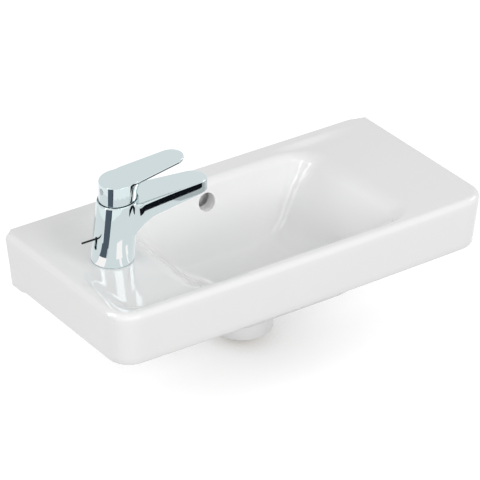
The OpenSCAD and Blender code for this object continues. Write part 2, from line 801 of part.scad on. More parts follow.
// Pull rod and its pin behind the mixer
rear_at_pin = joint_lean * pull_pin_z / joint_h - body_base_r;
pin_end = rod_at + rod_r / 2;
module along_pin(r, x0, x1) {
  translate([x0, 0, pull_pin_z]) rotate([0, 90, 0]) cylinder(r = r, h = x1 - x0, $fn = 48);
}
module pull_rod() {
  color(CHROME) mixer_frame() difference() {
    translate([rod_at, 0, 0]) disc(rod_r, -rod_below, pull_pin_z + rod_r, 48);
    along_pin(pull_pin_r / 2 + tight_gap, rod_at - rod_r - over, pin_end + slip_gap);
  }
}
module pull_pin() {
  color(CHROME) mixer_frame() {
    along_pin(pull_pin_r, rear_at_pin - pull_pin_out, rod_at - rod_r);
    along_pin(pull_pin_r / 2, rod_at - rod_r - over, pin_end);
  }
}

// Waste, in the frame of the drain; every piece is turned about one axis
// Outer radius of the 1 1/4 inch thread
thread_r = 20.95;
tube_in = 17.2;
spigot_r = tube_in + 1.4;
spigot_low = -18;
flange_r = seat_r - 1;
flange_low = -seat_drop + 1.2;
flange_top = -1;
tube_top = -8;
boss_low = -boss_h;
nut_t = 5;
nut_r = 27.5;
notch_r = 3;
waste_gasket_t = 3;
tail_out = 8;
// Thread at the mouth of the waste body, for the trap's tailpiece
outlet_r = tube_in + 0.4;
outlet_l = 6;
guide_z = -32.5;
guide_t = 3;
guide_r = 5;
stem_r = 2.5;
stem_spare = 1.5;
stem_low = guide_z - plug_travel - stem_spare;
slot_w = 12;
// The plug closes on a cone in the flange, from its top edge down to its throat
cone_top = [21.4, -1.9];
cone_low = [17.6, -6.6];
throat_r = 16.8;
throat_z = -8.5;
plug_gap = 0.5;
seal_gap = 0.35;
seal_groove = 1;
plug_foot = -6.4;
plug_groove = -5;
plug_head = -3.4;
chamfer = 0.6;
cone_rate = (cone_top[0] - cone_low[0]) / (cone_top[1] - cone_low[1]);
function cone_r(z) = cone_low[0] + cone_rate * (z - cone_low[1]);
module turned(points) { rotate_extrude($fn = 128) polygon(points); }
module flange_seal() { color(RUBBER) waste_frame() ring(flange_r, drain_r + over, -seat_drop, flange_low); }
module waste_flange() {
  dip_r = drain_r - chamfer;
  color(CHROME) waste_frame() turned([
    [throat_r, spigot_low], [spigot_r, spigot_low], [spigot_r, tube_top], [dip_r, tube_top],
    [dip_r, flange_low], [flange_r, flange_low], [flange_r, flange_top - chamfer],
    [flange_r - 2 * chamfer, flange_top], [cone_top[0] + chamfer, flange_top],
    cone_top, cone_low, [throat_r, throat_z]
  ]);
}
module waste_body() {
  arm = tube_in + 0.5;
  t = guide_t / 2;
  low = boss_low - tail_out;
  color(BRASS) waste_frame() difference() {
    union() {
      ring(thread_r, tube_in, low, tube_top);
      block(-arm, arm, -t, t, guide_z, guide_z + guide_t);
      block(-t, t, -arm, arm, guide_z, guide_z + guide_t);
      disc(guide_r, guide_z, guide_z + guide_t, 48);
    }
    disc(outlet_r, low - over, low + outlet_l);
    disc(spigot_r + slip_gap, spigot_low - 2, 0);
    disc(stem_r + run_gap, guide_z - over, guide_z + guide_t + over, 48);
    block(-slot_w / 2, slot_w / 2, -far / 2, far / 2,
          bowl_depth - channel_low + over, bowl_depth - channel_high - slot_w / 2);
  }
}
module waste_gasket() {
  top = boss_low + boss_rebate;
  color(RUBBER) waste_frame() ring(boss_rebate_r - 0.5, thread_r + slip_gap, top - waste_gasket_t, top);
}
module waste_locknut() {
  top = boss_low + boss_rebate - waste_gasket_t;
  low = top - nut_t;
  color(BRASS) waste_frame() difference() {
    disc(nut_r, low, top);
    disc(thread_r + run_gap, low - over, top + over);
    for (a = [0:60:300]) rotate([0, 0, a])
      translate([nut_r + notch_r / 2, 0, 0]) disc(notch_r, low - over, top + over, 48);
  }
}
module waste_plug() {
  foot_r = cone_r(plug_foot) - plug_gap;
  head_r = cone_r(cone_top[1]) - plug_gap;
  groove_r = foot_r - seal_groove;
  color(CHROME) waste_frame() turned([
    [0, stem_low], [stem_r, stem_low], [stem_r, plug_foot - 2], [8, plug_foot - chamfer],
    [foot_r - chamfer, plug_foot], [foot_r, plug_foot + chamfer], [foot_r, plug_groove],
    [groove_r, plug_groove], [groove_r, plug_head], [cone_r(plug_head) - plug_gap, plug_head],
    [head_r, cone_top[1]], [head_r - chamfer / 2, flange_top], [14, 0.2], [7, 0.8], [0, 1]
  ]);
}
module plug_seal() {
  hole_r = cone_r(plug_foot) - plug_gap - seal_groove + slip_gap;
  color(RUBBER) waste_frame()
    ring(cone_r(plug_groove) - seal_gap, hole_r, plug_groove, plug_head - slip_gap / 2);
}

basin();
mixer_body();
base_seal();
mounting_stud();
clamp_gasket();
clamp_washer();
clamp_nut();
cartridge_housing();
cartridge_base();
port_seals();
fixed_disc();
retaining_nut();
moving_disc();
disc_carrier();
rotor();
pivot_pin();
lever_handle();
lever_spindle();
grub_screw();
index_plug();
aerator_ring();
aerator_insert();
aerator_seal();
pull_rod();
pull_pin();
waste_flange();
flange_seal();
waste_body();
waste_gasket();
waste_locknut();
waste_plug();
plug_seal();
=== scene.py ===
import math

import bmesh
import bpy
import numpy as np
from mathutils import Matrix, Vector


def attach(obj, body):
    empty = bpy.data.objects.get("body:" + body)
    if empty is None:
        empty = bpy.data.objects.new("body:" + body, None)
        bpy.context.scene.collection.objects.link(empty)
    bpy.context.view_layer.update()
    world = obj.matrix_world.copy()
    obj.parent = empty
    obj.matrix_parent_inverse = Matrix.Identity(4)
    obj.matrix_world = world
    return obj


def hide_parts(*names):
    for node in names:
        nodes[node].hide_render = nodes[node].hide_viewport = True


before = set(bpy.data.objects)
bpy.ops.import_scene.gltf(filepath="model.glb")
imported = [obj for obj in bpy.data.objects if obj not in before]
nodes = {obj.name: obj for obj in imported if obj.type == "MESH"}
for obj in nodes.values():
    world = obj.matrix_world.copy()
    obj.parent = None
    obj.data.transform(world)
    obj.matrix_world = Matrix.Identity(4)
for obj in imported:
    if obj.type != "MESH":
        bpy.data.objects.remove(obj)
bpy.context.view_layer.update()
scene = bpy.context.scene

# Camera. It stands front left of the basin and above it, far off, with a long lens, so that the basin
# shows as in the photograph. Sizes are in millimetres and heights count from the rim, but those of the
# floor and the lamps count from the part's origin below it.
MM = 0.001
RIM_Z = 45.0  # height of the rim above the part's origin
CAM_AZIMUTH, CAM_ELEVATION = math.radians(-34.623), math.radians(29.426)
CAM_DISTANCE, CAM_CLIP_END = 3840.9, 50000.0
CAM_FOCAL_PX, FRAME_PX, SENSOR = 3409.7, 480, 36.0
CAM_LOOK_AT, CAM_SLIDE, CAM_RISE = Vector((0, -125, -40 + RIM_Z)), -13.734, 6.315
cam_back = Vector((math.sin(CAM_AZIMUTH) * math.cos(CAM_ELEVATION),
                   -math.cos(CAM_AZIMUTH) * math.cos(CAM_ELEVATION), math.sin(CAM_ELEVATION)))
cam_right = Vector((math.cos(CAM_AZIMUTH), math.sin(CAM_AZIMUTH), 0))
cam_up = cam_back.cross(cam_right)
cam_turn = Matrix((cam_right, cam_up, cam_back)).transposed().to_4x4()
cam_at = CAM_LOOK_AT + cam_right * CAM_SLIDE + cam_up * CAM_RISE + cam_back * CAM_DISTANCE
cam_data = bpy.data.cameras.new("camera")
cam_data.sensor_width = SENSOR
cam_data.lens = CAM_FOCAL_PX * SENSOR / FRAME_PX
cam_data.clip_end = CAM_CLIP_END * MM
camera = bpy.data.objects.new("camera", cam_data)
camera.matrix_world = Matrix.Translation(cam_at * MM) @ cam_turn
scene.collection.objects.link(camera)
scene.camera = camera
scene.view_settings.view_transform = "Standard"

# Sky. A plain pale sky lights the basin from all round. The camera, the chrome and the glaze see it
# as pure white, which is brighter than the light that it gives.
SKY_LIGHT, SKY_SEEN = 0.61, 1.0
WHITE = (1.0, 1.0, 1.0)


class Graph:
    """A node tree that is written as expressions."""

    def __init__(self, tree):
        self.tree = tree
        tree.nodes.clear()

    def node(self, kind, settings=None, **sockets):
        """A node; a socket is given by its name, with _ for a space, or by _ and its number."""
        made = self.tree.nodes.new(kind)
        for key, value in (settings or {}).items():
            setattr(made, key, value)
        for key, value in sockets.items():
            self.plug(made.inputs[int(key[1:]) if key[0] == "_" else key.replace("_", " ")], value)
        return made

    def plug(self, socket, value):
        """Links a socket to a Value, or sets it to a plain value."""
        if isinstance(value, Value):
            self.tree.links.new(value.socket, socket)
        elif value is not None:
            socket.default_value = value

    def out(self, kind, settings=None, pick=0, **sockets):
        """A node's output, picked by its number or name."""
        return Value(self, self.node(kind, settings, **sockets).outputs[pick])


class Value:
    """One socket of a node tree; operators on it add Math nodes."""

    def __init__(self, graph, socket):
        self.graph, self.socket = graph, socket

    def maths(self, operation, a, b):
        return self.graph.out("ShaderNodeMath", {"operation": operation}, _0=a, _1=b)

    def __add__(self, other):
        return self.maths("ADD", self, other)

    def __radd__(self, other):
        return self.maths("ADD", other, self)

    def __sub__(self, other):
        return self.maths("SUBTRACT", self, other)

    def __rsub__(self, other):
        return self.maths("SUBTRACT", other, self)

    def __mul__(self, other):
        return self.maths("MULTIPLY", self, other)

    def __rmul__(self, other):
        return self.maths("MULTIPLY", other, self)

    def __truediv__(self, other):
        return self.maths("DIVIDE", self, other)

    def __rtruediv__(self, other):
        return self.maths("DIVIDE", other, self)

    def __pow__(self, other):
        return self.maths("POWER", self, other)

    def __rpow__(self, other):
        return self.maths("POWER", other, self)


def looked_at(graph):
    """1 for what the camera, a mirror or a glass sees, 0 for light that falls on things."""
    path = graph.node("ShaderNodeLightPath").outputs
    seen = Value(graph, path["Is Camera Ray"])
    for name in ("Is Glossy Ray", "Is Transmission Ray"):
        seen = seen.maths("MAXIMUM", seen, Value(graph, path[name]))
    return seen


world = bpy.data.worlds.new("studio")
scene.world = world
world.use_nodes = True
sky = Graph(world.node_tree)
lit = sky.out("ShaderNodeBackground", Color=(*WHITE, 1), Strength=SKY_LIGHT)
shown = sky.out("ShaderNodeBackground", Color=(*WHITE, 1), Strength=SKY_SEEN)
sky_mix = sky.out("ShaderNodeMixShader", _0=looked_at(sky), _1=lit, _2=shown)
sky.node("ShaderNodeOutputWorld", Surface=sky_mix)

# Floor. A plain white board below the basin. It glows for the camera and the mirrors, so that it
# stays white, and the glow fades where the basin hides the sky from it, which keeps the soft shadow.
FLOOR_Z, FLOOR_HALF = -121.0, 8000.0
FLOOR_BOUNCE, FLOOR_GLOW, GLOW_POWER = 0.5, 0.6, 1.40
SHADE_DEPTH, SHADE_BEND, SHADE_REACH = 1.0, 2.0, 0.14  # the reach is in metres, as the node takes it
floor_corners = [(x * FLOOR_HALF * MM, y * FLOOR_HALF * MM, FLOOR_Z * MM)
                 for x, y in ((-1, -1), (1, -1), (1, 1), (-1, 1))]
floor_mesh = bpy.data.meshes.new("floor")
floor_mesh.from_pydata(floor_corners, [], [(0, 1, 2, 3)])
floor = bpy.data.objects.new("floor", floor_mesh)
scene.collection.objects.link(floor)
floor_paint = bpy.data.materials.new("floor_paint")
floor_paint.use_nodes = True
paint = Graph(floor_paint.node_tree)
in_sight = looked_at(paint)
matt = paint.out("ShaderNodeBsdfDiffuse", Color=in_sight * (1 - FLOOR_BOUNCE) + FLOOR_BOUNCE)
openness = paint.out("ShaderNodeAmbientOcclusion", {"samples": 4}, 1, Distance=SHADE_REACH)
hidden = (1.0 - openness) ** SHADE_BEND
glow = paint.out("ShaderNodeEmission", Color=(*WHITE, 1), Strength=GLOW_POWER - hidden * SHADE_DEPTH)
floor_mix = paint.out("ShaderNodeMixShader", _0=in_sight * FLOOR_GLOW, _1=matt, _2=glow)
paint.node("ShaderNodeOutputMaterial", Surface=floor_mix)
floor_mesh.materials.append(floor_paint)

# Soft boxes. Four wide lamps behind white cloth: two in front, one low on the left that lights the
# bowl's right wall, and one high on the left for the deck. Mirrors don't see them.
LAMP_AIM = (0, -120, 0)


def soft_box(name, at, size, power):
    """An area lamp of a width and a height, aimed at the basin."""
    data = bpy.data.lights.new(name, "AREA")
    data.shape, data.size, data.size_y, data.energy = "RECTANGLE", size[0] * MM, size[1] * MM, power
    lamp = bpy.data.objects.new(name, data)
    aim = (Vector(at) - Vector(LAMP_AIM)).to_track_quat("Z", "Y")
    lamp.matrix_world = Matrix.Translation(Vector(at) * MM) @ aim.to_matrix().to_4x4()
    lamp.visible_glossy = False
    scene.collection.objects.link(lamp)


soft_box("soft_box_front", (700, -2300, 1300), (1600, 800), 13.6)
soft_box("soft_box_low", (0, -2400, 600), (1600, 500), 9.2)
soft_box("soft_box_side", (-2400, -600, 300), (800, 400), 12.2)
soft_box("soft_box_left", (-1600, -200, 1800), (800, 800), 3.2)

# Cards. Boards such as a photographer stands round a chromed object, which only mirrors see here. They glow
# in their tones as painted reflections: the chrome's slate and black bands, the glaze's bright streaks.
TAP_X, TAP_Y = -178.0, -112.0
SLATE, NEAR_BLACK = (0.115, 0.14, 0.175), (0.03, 0.035, 0.04)
UNDER_SPOUT, SPOUT_LINE, UNDER_LEVER = (0.008, 0.009, 0.012), (0.05, 0.055, 0.06), (0.02, 0.022, 0.024)
WARM_WHITE, STREAK, FRONT_STREAK = (1.50, 1.31, 1.28), (4.0, 4.0, 4.0), (4.2, 4.2, 4.2)
EDGE_STREAK = (8.0, 8.0, 8.0)
ARC_STEPS = 8


def card(name, corners, tone, one_sided=False):
    """A board of four corners that shines in a tone, for mirrors only."""
    mesh = bpy.data.meshes.new(name)
    mesh.from_pydata([(x * MM, y * MM, (z + RIM_Z) * MM) for x, y, z in corners], [], [(0, 1, 2, 3)])
    board = bpy.data.objects.new(name, mesh)
    scene.collection.objects.link(board)
    card_paint = bpy.data.materials.new(name)
    card_paint.use_nodes = True
    card_paint.cycles.emission_sampling = "NONE"
    graph = Graph(card_paint.node_tree)
    face = graph.out("ShaderNodeEmission", Color=(*tone, 1), Strength=1.0)
    if one_sided:
        behind = graph.out("ShaderNodeNewGeometry", pick="Backfacing")
        clear = graph.out("ShaderNodeBsdfTransparent")
        face = graph.out("ShaderNodeMixShader", _0=behind, _1=face, _2=clear)
    graph.node("ShaderNodeOutputMaterial", Surface=face)
    mesh.materials.append(card_paint)
    board.visible_camera = board.visible_diffuse = board.visible_shadow = False
    board.visible_transmission = board.visible_volume_scatter = False


def round_tap(turn, reach):
    """A place at a distance from the tap's axis; turns go from the front towards the right, in degrees."""
    a = math.radians(turn)
    return TAP_X + reach * math.sin(a), TAP_Y - reach * math.cos(a)


def upright_card(name, foot_a, foot_b, low, high, tone):
    """A card that stands on the line between two places."""
    card(name, [(*foot_a, low), (*foot_b, low), (*foot_b, high), (*foot_a, high)], tone)


def facing_card(name, turn_from, turn_to, distance, low, high, tone):
    """A card that stands across the view from the tap."""
    upright_card(name, round_tap(turn_from, distance), round_tap(turn_to, distance), low, high, tone)


def far_card(name, turn_from, turn_to, low, high, tone, distance=2000):
    """A bright card far off; low and high are the angles at which the tap sees its edges."""
    heights = [distance * math.tan(math.radians(rise)) for rise in (low, high)]
    facing_card(name, turn_from, turn_to, distance, *heights, tone)


def edge_card(name, turn, near, far, low, high, tone):
    """A bright card that stands edge-on to the tap, so that the bowl mirrors it and the tap doesn't."""
    upright_card(name, round_tap(turn, near), round_tap(turn, far), low, high, tone)


def lying_cards(name, turn_from, turn_to, profile, tone):
    """Cards that lie round the tap's foot, seen from above only; profile is (radius, height) pairs."""
    turns = np.linspace(turn_from, turn_to, ARC_STEPS + 1)
    arcs = [[(*round_tap(turn, r), z) for turn in turns] for r, z in profile]
    for n in range(len(profile) - 1):
        for k in range(ARC_STEPS):
            corners = [arcs[n + 1][k], arcs[n + 1][k + 1], arcs[n][k + 1], arcs[n][k]]
            card(f"{name}_{n}_{k}", corners, tone, one_sided=True)


facing_card("flag_left", -91, -61, 250, -110, 10, SLATE)
facing_card("flag_left_edge", -61, -57, 250, -110, 10, NEAR_BLACK)
lying_cards("card_foot_front", -57, 150, ((25, -4.2), (38, 0.5), (170, 0.5)), WHITE)
lying_cards("card_foot_rear", -160, -91, ((25, -4.2), (38, 0.5), (170, 0.5)), WHITE)
lying_cards("card_foot_side", -91, -57, ((25, -4.2), (43, 0.5)), WARM_WHITE)
lying_cards("flag_foot", -91, -61, ((43, 0.5), (90, 0.5)), SLATE)
lying_cards("card_foot_bright", -20, 4, ((25, -4.1), (38, 0.7), (84, 0.7)), WARM_WHITE)
lying_cards("card_foot_stripe", 20, 30, ((25, -4.1), (38, 0.7), (60, 0.7)), WARM_WHITE)
far_card("card_front", -24, 20, 26, 42, FRONT_STREAK)
far_card("card_left", -104, -80, 32, 48, STREAK)
far_card("card_right", 64, 96, 20, 36, STREAK)
edge_card("card_low_front", -36, 550, 1300, 60, 1200, EDGE_STREAK)
edge_card("card_low_side", -95, 190, 560, 60, 600, EDGE_STREAK)
card("flag_spout", [(-146, -168, 33), (-31, -162, 30), (-31, -162, 49.5), (-146, -168, 42)], UNDER_SPOUT)
card("flag_spout_line", [(-146, -166, 47.5), (-101, -164, 54), (-101, -164, 55.4), (-146, -166, 48.5)],
     SPOUT_LINE)
card("flag_lever", [(-150, -147, 71), (-82, -141, 78), (-82, -141, 88), (-150, -147, 81)], UNDER_LEVER)

# Ceramic basin. One hollow casting of vitreous china under a clear white glaze: bowl, tap deck,
# shelf, apron, drain boss and overflow channel. Its skin is made of rings round the drain, and the
# overflow, its channel and the holes for the tap and the wall bolts are cut from it.
HALF_W, DEPTH, BOW, CORNER_R = 250.0, 240.0, 3.0, 28.0
RIM_R, APRON_H, DRAFT, FOOT_R, APRON_T = 7.0, 66.0, 5.5, 3.0, 11.0
BOWL_L, BOWL_R, BOWL_BACK, BOWL_FRONT, BOWL_CORNER = -139.0, 144.0, -30.0, -225.0, 32.0
BOWL_DEPTH, SHELL_T = 113.0, 9.0
LEFT_EASE, RIGHT_EASE, CORNER_DIP = 2.2, 1.25, 90.0  # how the side walls bend, how tight the corners get
DRAIN_Y, LAND_R, SEAT_R, SEAT_DROP, DRAIN_R, THROAT_R = -104.0, 34.0, 33.0, 4.0, 23.0, 21.0
# The bowl's wall in section, as (share of the way in, height), and how much its foot is rounded
WALL_FOOT, DRAIN_END, BEND = np.array([0.42, -86.0]), np.array([1.0, -BOWL_DEPTH]), 0.2
EDGE_DROP, EDGE_L, EDGE_R, EDGE_B, EDGE_F = 8.0, 12.0, 16.0, 8.0, 4.0  # the roll of the bowl's top edge
DECK_DROP, DECK_T, DECK_MARGIN, DECK_BACK_R, DECK_FRONT_R = 5.0, 13.0, 14.0, 46.0, 18.0
DECK_SLOPE, DECK_REACH, DECK_END, DECK_FADE = 26.0, 120.0, 45.0, 48.0
STEEP_FRONT, STEEP_FROM, STEEP_RUN = 0.6, 185.0, 90.0  # the deck's left slope is narrower in front
SHELF_FALL, SHELF_START, SHELF_RUN, SHELF_CREST = 4.0, 96.0, 60.0, 130.0
SHELF_SIDE, SHELF_FRONT, SHELF_STEEP = 10.0, 5.0, 1.15
LEDGE, LEDGE_EASE, LEDGE_FADE = 26.0, 4.0, 12.0
RAIL_T, RAIL_DROP, RAIL_EASE = 25.0, 3.0, 4.0
BOSS_R, BOSS_DEPTH, BOSS_MID, THROAT_MID, REBATE_R, REBATE = 36.5, 154.0, 138.0, 126.0, 31.0, 4.0
OVERFLOW_R, OVERFLOW_Z, OVERFLOW_END, LIP_R = 11.0, -25.0, -58.0, 1.0
CHANNEL_HALF, CHANNEL_BACK, CHANNEL_FRONT, CHANNEL_TOP = 15.0, -12.0, -22.0, -14.0
CHANNEL_LOW, CHANNEL_FOOT = -142.0, -128.0
SPINE_HALF, TAP_HOLE_R, WALL_HOLE_R, WALL_HOLE_X = 28.0, 17.5, 7.0, 140.0
SPINE_SIDE = [(0, -66), (-37, -66), (-40, -78), (-44, -92), (-62, -115), (-68, -121), (-86, -121),
              (-86, -149), (0, -149)]  # in section, as (y, height)
FOLLOW_FROM, FOLLOW_RUN = 50.0, 42.0  # depths at which the bowl's rings start to follow the top face
LOW_FROM, LOW_RUN = 40.0, 24.0  # depths over which the rail gets lower than the apron
TIGHTEST = 0.38  # share of the way in at which the bowl's corners are tightest
TO_WALL = 0.05  # rays that point to the wall by less than this don't meet the rail
OVERLAP = 3  # points that are repeated at each end of a closed outline
RAY_GAP = 0.0035  # radians between the closest rays


def mix(a, b, share):
    return a + (b - a) * share


def smooth(t):
    """From 0 to 1 with a soft start and end."""
    t = np.clip(t, 0, 1)
    return t * t * (3 - 2 * t)


def bezier(p, q, r, t):
    return p * (1 - t) ** 2 + q * 2 * t * (1 - t) + r * t ** 2


def quarter(steps, skip=0):
    """The angles of a quarter round, in radians; skip leaves out the first ones."""
    return np.radians(np.linspace(0, 90, steps)[skip:])


def rounded(x0, x1, y0, y1, r_back, r_front, steps=60):
    """Points round a rectangle with round corners, anticlockwise, close together."""
    corners = ((x1 - r_back, y1 - r_back, r_back, 0), (x0 + r_back, y1 - r_back, r_back, 90),
               (x0 + r_front, y0 + r_front, r_front, 180), (x1 - r_front, y0 + r_front, r_front, 270))
    turns = []
    for cx, cy, r, start in corners:
        a = np.radians(start + np.linspace(0, 90, steps))
        turns.append(np.column_stack([cx + r * np.cos(a), cy + r * np.sin(a)]))
    points = []
    run = np.linspace(0, 1, steps)[1:-1, None]
    for k, turn in enumerate(turns):
        points += [turn, mix(turn[-1], turns[(k + 1) % 4][0], run)]
    return np.vstack(points)


def polar(outline):
    """Angle and distance of an outline's points from the drain, sorted and closed for interpolation."""
    x, y = outline[:, 0], outline[:, 1] - DRAIN_Y
    angles, reach = np.mod(np.arctan2(y, x), 2 * np.pi), np.hypot(x, y)
    order = np.argsort(angles)
    angles, reach = angles[order], reach[order]
    return (np.concatenate([angles[-OVERLAP:] - 2 * np.pi, angles, angles[:OVERLAP] + 2 * np.pi]),
            np.concatenate([reach[-OVERLAP:], reach, reach[:OVERLAP]]))


def bowl_outline(u, grow=0.0):
    """The bowl at a share u of the way in; its side walls lean in most near the top."""
    corner = mix(BOWL_CORNER, LAND_R, u) - CORNER_DIP * u * (1 - u) + grow
    return rounded(mix(-LAND_R, BOWL_L, (1 - u) ** LEFT_EASE) - grow,
                   mix(LAND_R, BOWL_R, (1 - u) ** RIGHT_EASE) + grow,
                   mix(BOWL_FRONT, DRAIN_Y - LAND_R, u) - grow,
                   mix(BOWL_BACK, DRAIN_Y + LAND_R, u) + grow, corner, corner)


def outer_outline(inset):
    """The apron's outline: sharp corners at the wall, round ones in front, and a slightly bowed front."""
    points = rounded(-HALF_W + inset, HALF_W - inset, -DEPTH + BOW + inset, 0, 2, CORNER_R - inset / 2)
    points[:, 1] += BOW * points[:, 1] / DEPTH * (1 - (points[:, 0] / HALF_W) ** 2)
    return points


def rolled_outline(u, turn):
    """The bowl's top edge: it rolls outwards, furthest on the side of the shelf."""
    points = bowl_outline(u)
    out = 1 - math.cos(turn)
    x, y = points[:, 0].copy(), points[:, 1].copy()
    east, west = np.maximum(0, x) / BOWL_R, np.maximum(0, -x) / -BOWL_L
    north = np.maximum(0, y - DRAIN_Y) / (BOWL_BACK - DRAIN_Y)
    south = np.maximum(0, DRAIN_Y - y) / (DRAIN_Y - BOWL_FRONT)
    points[:, 0] += out * (EDGE_R * east ** 3 - EDGE_L * west ** 3)
    points[:, 1] += out * (EDGE_B * north ** 3 - EDGE_F * south ** 3)
    return points


def depth_in_deck(x, y, slope):
    """How far a point lies inside the deck's outline, whose left corners are round, after a slope."""
    steepness = mix(STEEP_FRONT, 1.0, smooth((y + STEEP_FROM) / STEEP_RUN))
    x0, x1 = -HALF_W + DECK_MARGIN + slope * steepness, BOWL_L + DECK_REACH
    y0, y1 = -DEPTH + DECK_MARGIN + slope / 6, -DECK_MARGIN - slope
    cx, cy = (x0 + x1) / 2, (y0 + y1) / 2
    r = np.where(y > cy, DECK_BACK_R, DECK_FRONT_R + slope / 3)
    qx, qy = np.abs(x - cx) - (x1 - x0) / 2 + r, np.abs(y - cy) - (y1 - y0) / 2 + r
    return r - np.hypot(np.maximum(qx, 0), np.maximum(qy, 0)) - np.minimum(np.maximum(qx, qy), 0)


def top_height(x, y):
    """Height of the top face: the sunken deck on the left and the falling shelf on the right."""
    low, high = np.zeros_like(x), np.full_like(x, DECK_SLOPE)
    # How much of the slope has been passed at each point, found by halving
    for _ in range(18):
        middle = (low + high) / 2
        inside = depth_in_deck(x, y, middle) > 0
        low, high = np.where(inside, middle, low), np.where(inside, high, middle)
    deck = smooth(low / DECK_SLOPE) * smooth((BOWL_L + DECK_END - x) / DECK_FADE)
    off_ledge = 1 - smooth((y + LEDGE - LEDGE_EASE) / LEDGE_FADE)
    side = HALF_W - SHELF_SIDE
    across = np.clip((x - SHELF_START) / SHELF_RUN, 0, 1) * np.clip((side - x) / (side - SHELF_CREST), 0, 1)
    front = BOWL_FRONT + SHELF_FRONT
    along = np.clip((y - front) / (-LEDGE - front), 0, 1)
    shelf = smooth(across * SHELF_STEEP) * along * off_ledge
    return -DECK_DROP * deck - SHELF_FALL * shelf


# Rays from the drain's centre: close together where an outline turns a corner
crowded = ((bowl_outline(0), 9), (bowl_outline(TIGHTEST), 7),
           (outer_outline(RIM_R), 7), (outer_outline(0), 7))
ray_sets = [polar(outline)[0][OVERLAP:-OVERLAP:every] for outline, every in crowded]
ray_sets.append(np.linspace(0, 2 * np.pi, 160, endpoint=False))
rays = np.unique(np.round(np.mod(np.concatenate(ray_sets), 2 * np.pi), 4))
rays = rays[np.concatenate([[True], np.diff(rays) > RAY_GAP])]
ray_x, ray_y = np.cos(rays), np.sin(rays)


def reach_of(outline):
    """Distance from the drain to an outline along every ray."""
    return np.interp(rays, *polar(outline))


def ring(reach, z, top_share=0.0):
    """One ring of points at a distance from the drain's centre along every ray."""
    x, y = reach * ray_x, DRAIN_Y + reach * ray_y
    z = z + np.zeros_like(x)
    if top_share:
        z = z + top_share * top_height(x, y)
    return np.column_stack([x, y, z])


def draft_at(depth):
    """How far the leaning apron has come in at a depth below the rim."""
    return DRAFT * (depth - RIM_R) / (APRON_H - RIM_R)


# The drain's throat and the ground seat of the waste
rings = [ring(THROAT_R, z) for z in (-BOSS_DEPTH + REBATE, -BOSS_MID, -THROAT_MID, -BOWL_DEPTH - SEAT_DROP)]
rings += [ring(SEAT_R, -BOWL_DEPTH - SEAT_DROP), ring(SEAT_R, -BOWL_DEPTH - 0.6),
          ring(SEAT_R + 0.2, -BOWL_DEPTH - 0.15), ring(SEAT_R + 0.6, -BOWL_DEPTH)]
# The bowl's floor and walls, then its edge, which rolls out to the top face
floor_end = mix(DRAIN_END, WALL_FOOT, 1 - BEND)
wall_start = WALL_FOOT * (1 - BEND)
edge_foot = WALL_FOOT * EDGE_DROP / -WALL_FOOT[1]
bowl_line = [mix(DRAIN_END, floor_end, t) for t in np.linspace(0, 1, 9)[:-1]]
bowl_line += [bezier(floor_end, WALL_FOOT, wall_start, t) for t in np.linspace(0, 1, 17)]
bowl_line += [mix(wall_start, edge_foot, t) for t in np.linspace(0, 1, 26)[1:-1]]
for u, z in bowl_line:
    rings.append(ring(reach_of(bowl_outline(u)), z, float(smooth((z + FOLLOW_FROM) / FOLLOW_RUN))))
for turn in quarter(15):
    outline = rolled_outline(edge_foot[0] * (1 - math.sin(turn)), turn)
    rings.append(ring(reach_of(outline), -EDGE_DROP * (1 - math.sin(turn)), 1.0))
inner_reach = reach_of(rolled_outline(0, math.pi / 2))
outer_reach = reach_of(outer_outline(RIM_R))
for t in np.linspace(0, 1, 34)[1:]:
    rings.append(ring(mix(inner_reach, outer_reach, t), 0, 1.0))
# The rim's rounding, the leaning apron and its rounded foot
for turn in quarter(12, 1):
    rings.append(ring(reach_of(outer_outline(RIM_R * (1 - math.sin(turn)))), -RIM_R * (1 - math.cos(turn))))
for depth in np.linspace(RIM_R, APRON_H - FOOT_R, 9)[1:]:
    rings.append(ring(reach_of(outer_outline(draft_at(depth))), -depth))
for turn in quarter(6, 1):
    inset = draft_at(APRON_H) + FOOT_R * (1 - math.cos(turn))
    rings.append(ring(reach_of(outer_outline(inset)), -APRON_H + FOOT_R * (1 - math.sin(turn))))


def inner_wall(inset):
    """Inside of the apron, cut off by the rail along the wall."""
    rail = np.where(ray_y > TO_WALL, (-RAIL_T - DRAIN_Y) / np.maximum(ray_y, TO_WALL), np.inf)
    return np.minimum(reach_of(outer_outline(inset)), rail)


def shell_reach(z):
    """Outside of the bowl's shell at a height: the inside, a wall's thickness further out."""
    u = np.interp(-(z + SHELL_T), [0, -wall_start[1]], [0, wall_start[0]])
    return reach_of(bowl_outline(u, SHELL_T))


# The hollow underside: up the apron's inside until the gap to the bowl's shell closes, across, and
# down the shell to the boss
CEILING, WALL_GAP, LEVELS = -DECK_DROP - DECK_T, 4.0, 60
foot_inset = draft_at(APRON_H) + APRON_T
foot_z = -APRON_H + 1
rings += [ring(inner_wall(foot_inset - 1), -APRON_H), ring(inner_wall(foot_inset), foot_z)]
heights = np.linspace(foot_z, CEILING, LEVELS)
gap = np.array([inner_wall(mix(foot_inset, APRON_T, (z + APRON_H) / (APRON_H + CEILING))) - shell_reach(z)
                for z in heights])
open_to = np.array([heights[np.nonzero(column > WALL_GAP)[0][-1]] if (column > WALL_GAP).any() else foot_z
                    for column in gap.T])
for t in np.linspace(0, 1, 9)[1:]:
    rings.append(ring(inner_wall(mix(foot_inset, APRON_T, t)), mix(foot_z, open_to, t)))
wall_in = inner_wall(APRON_T)
shell_top = np.minimum(np.array([shell_reach(z)[k] for k, z in enumerate(open_to)]), wall_in - 1)
for t in np.linspace(0, 1, 12)[1:]:
    rings.append(ring(mix(wall_in, shell_top, t), open_to))
shell_line = [q for q in bowl_line if q[1] - SHELL_T < CEILING - 6][::-1]
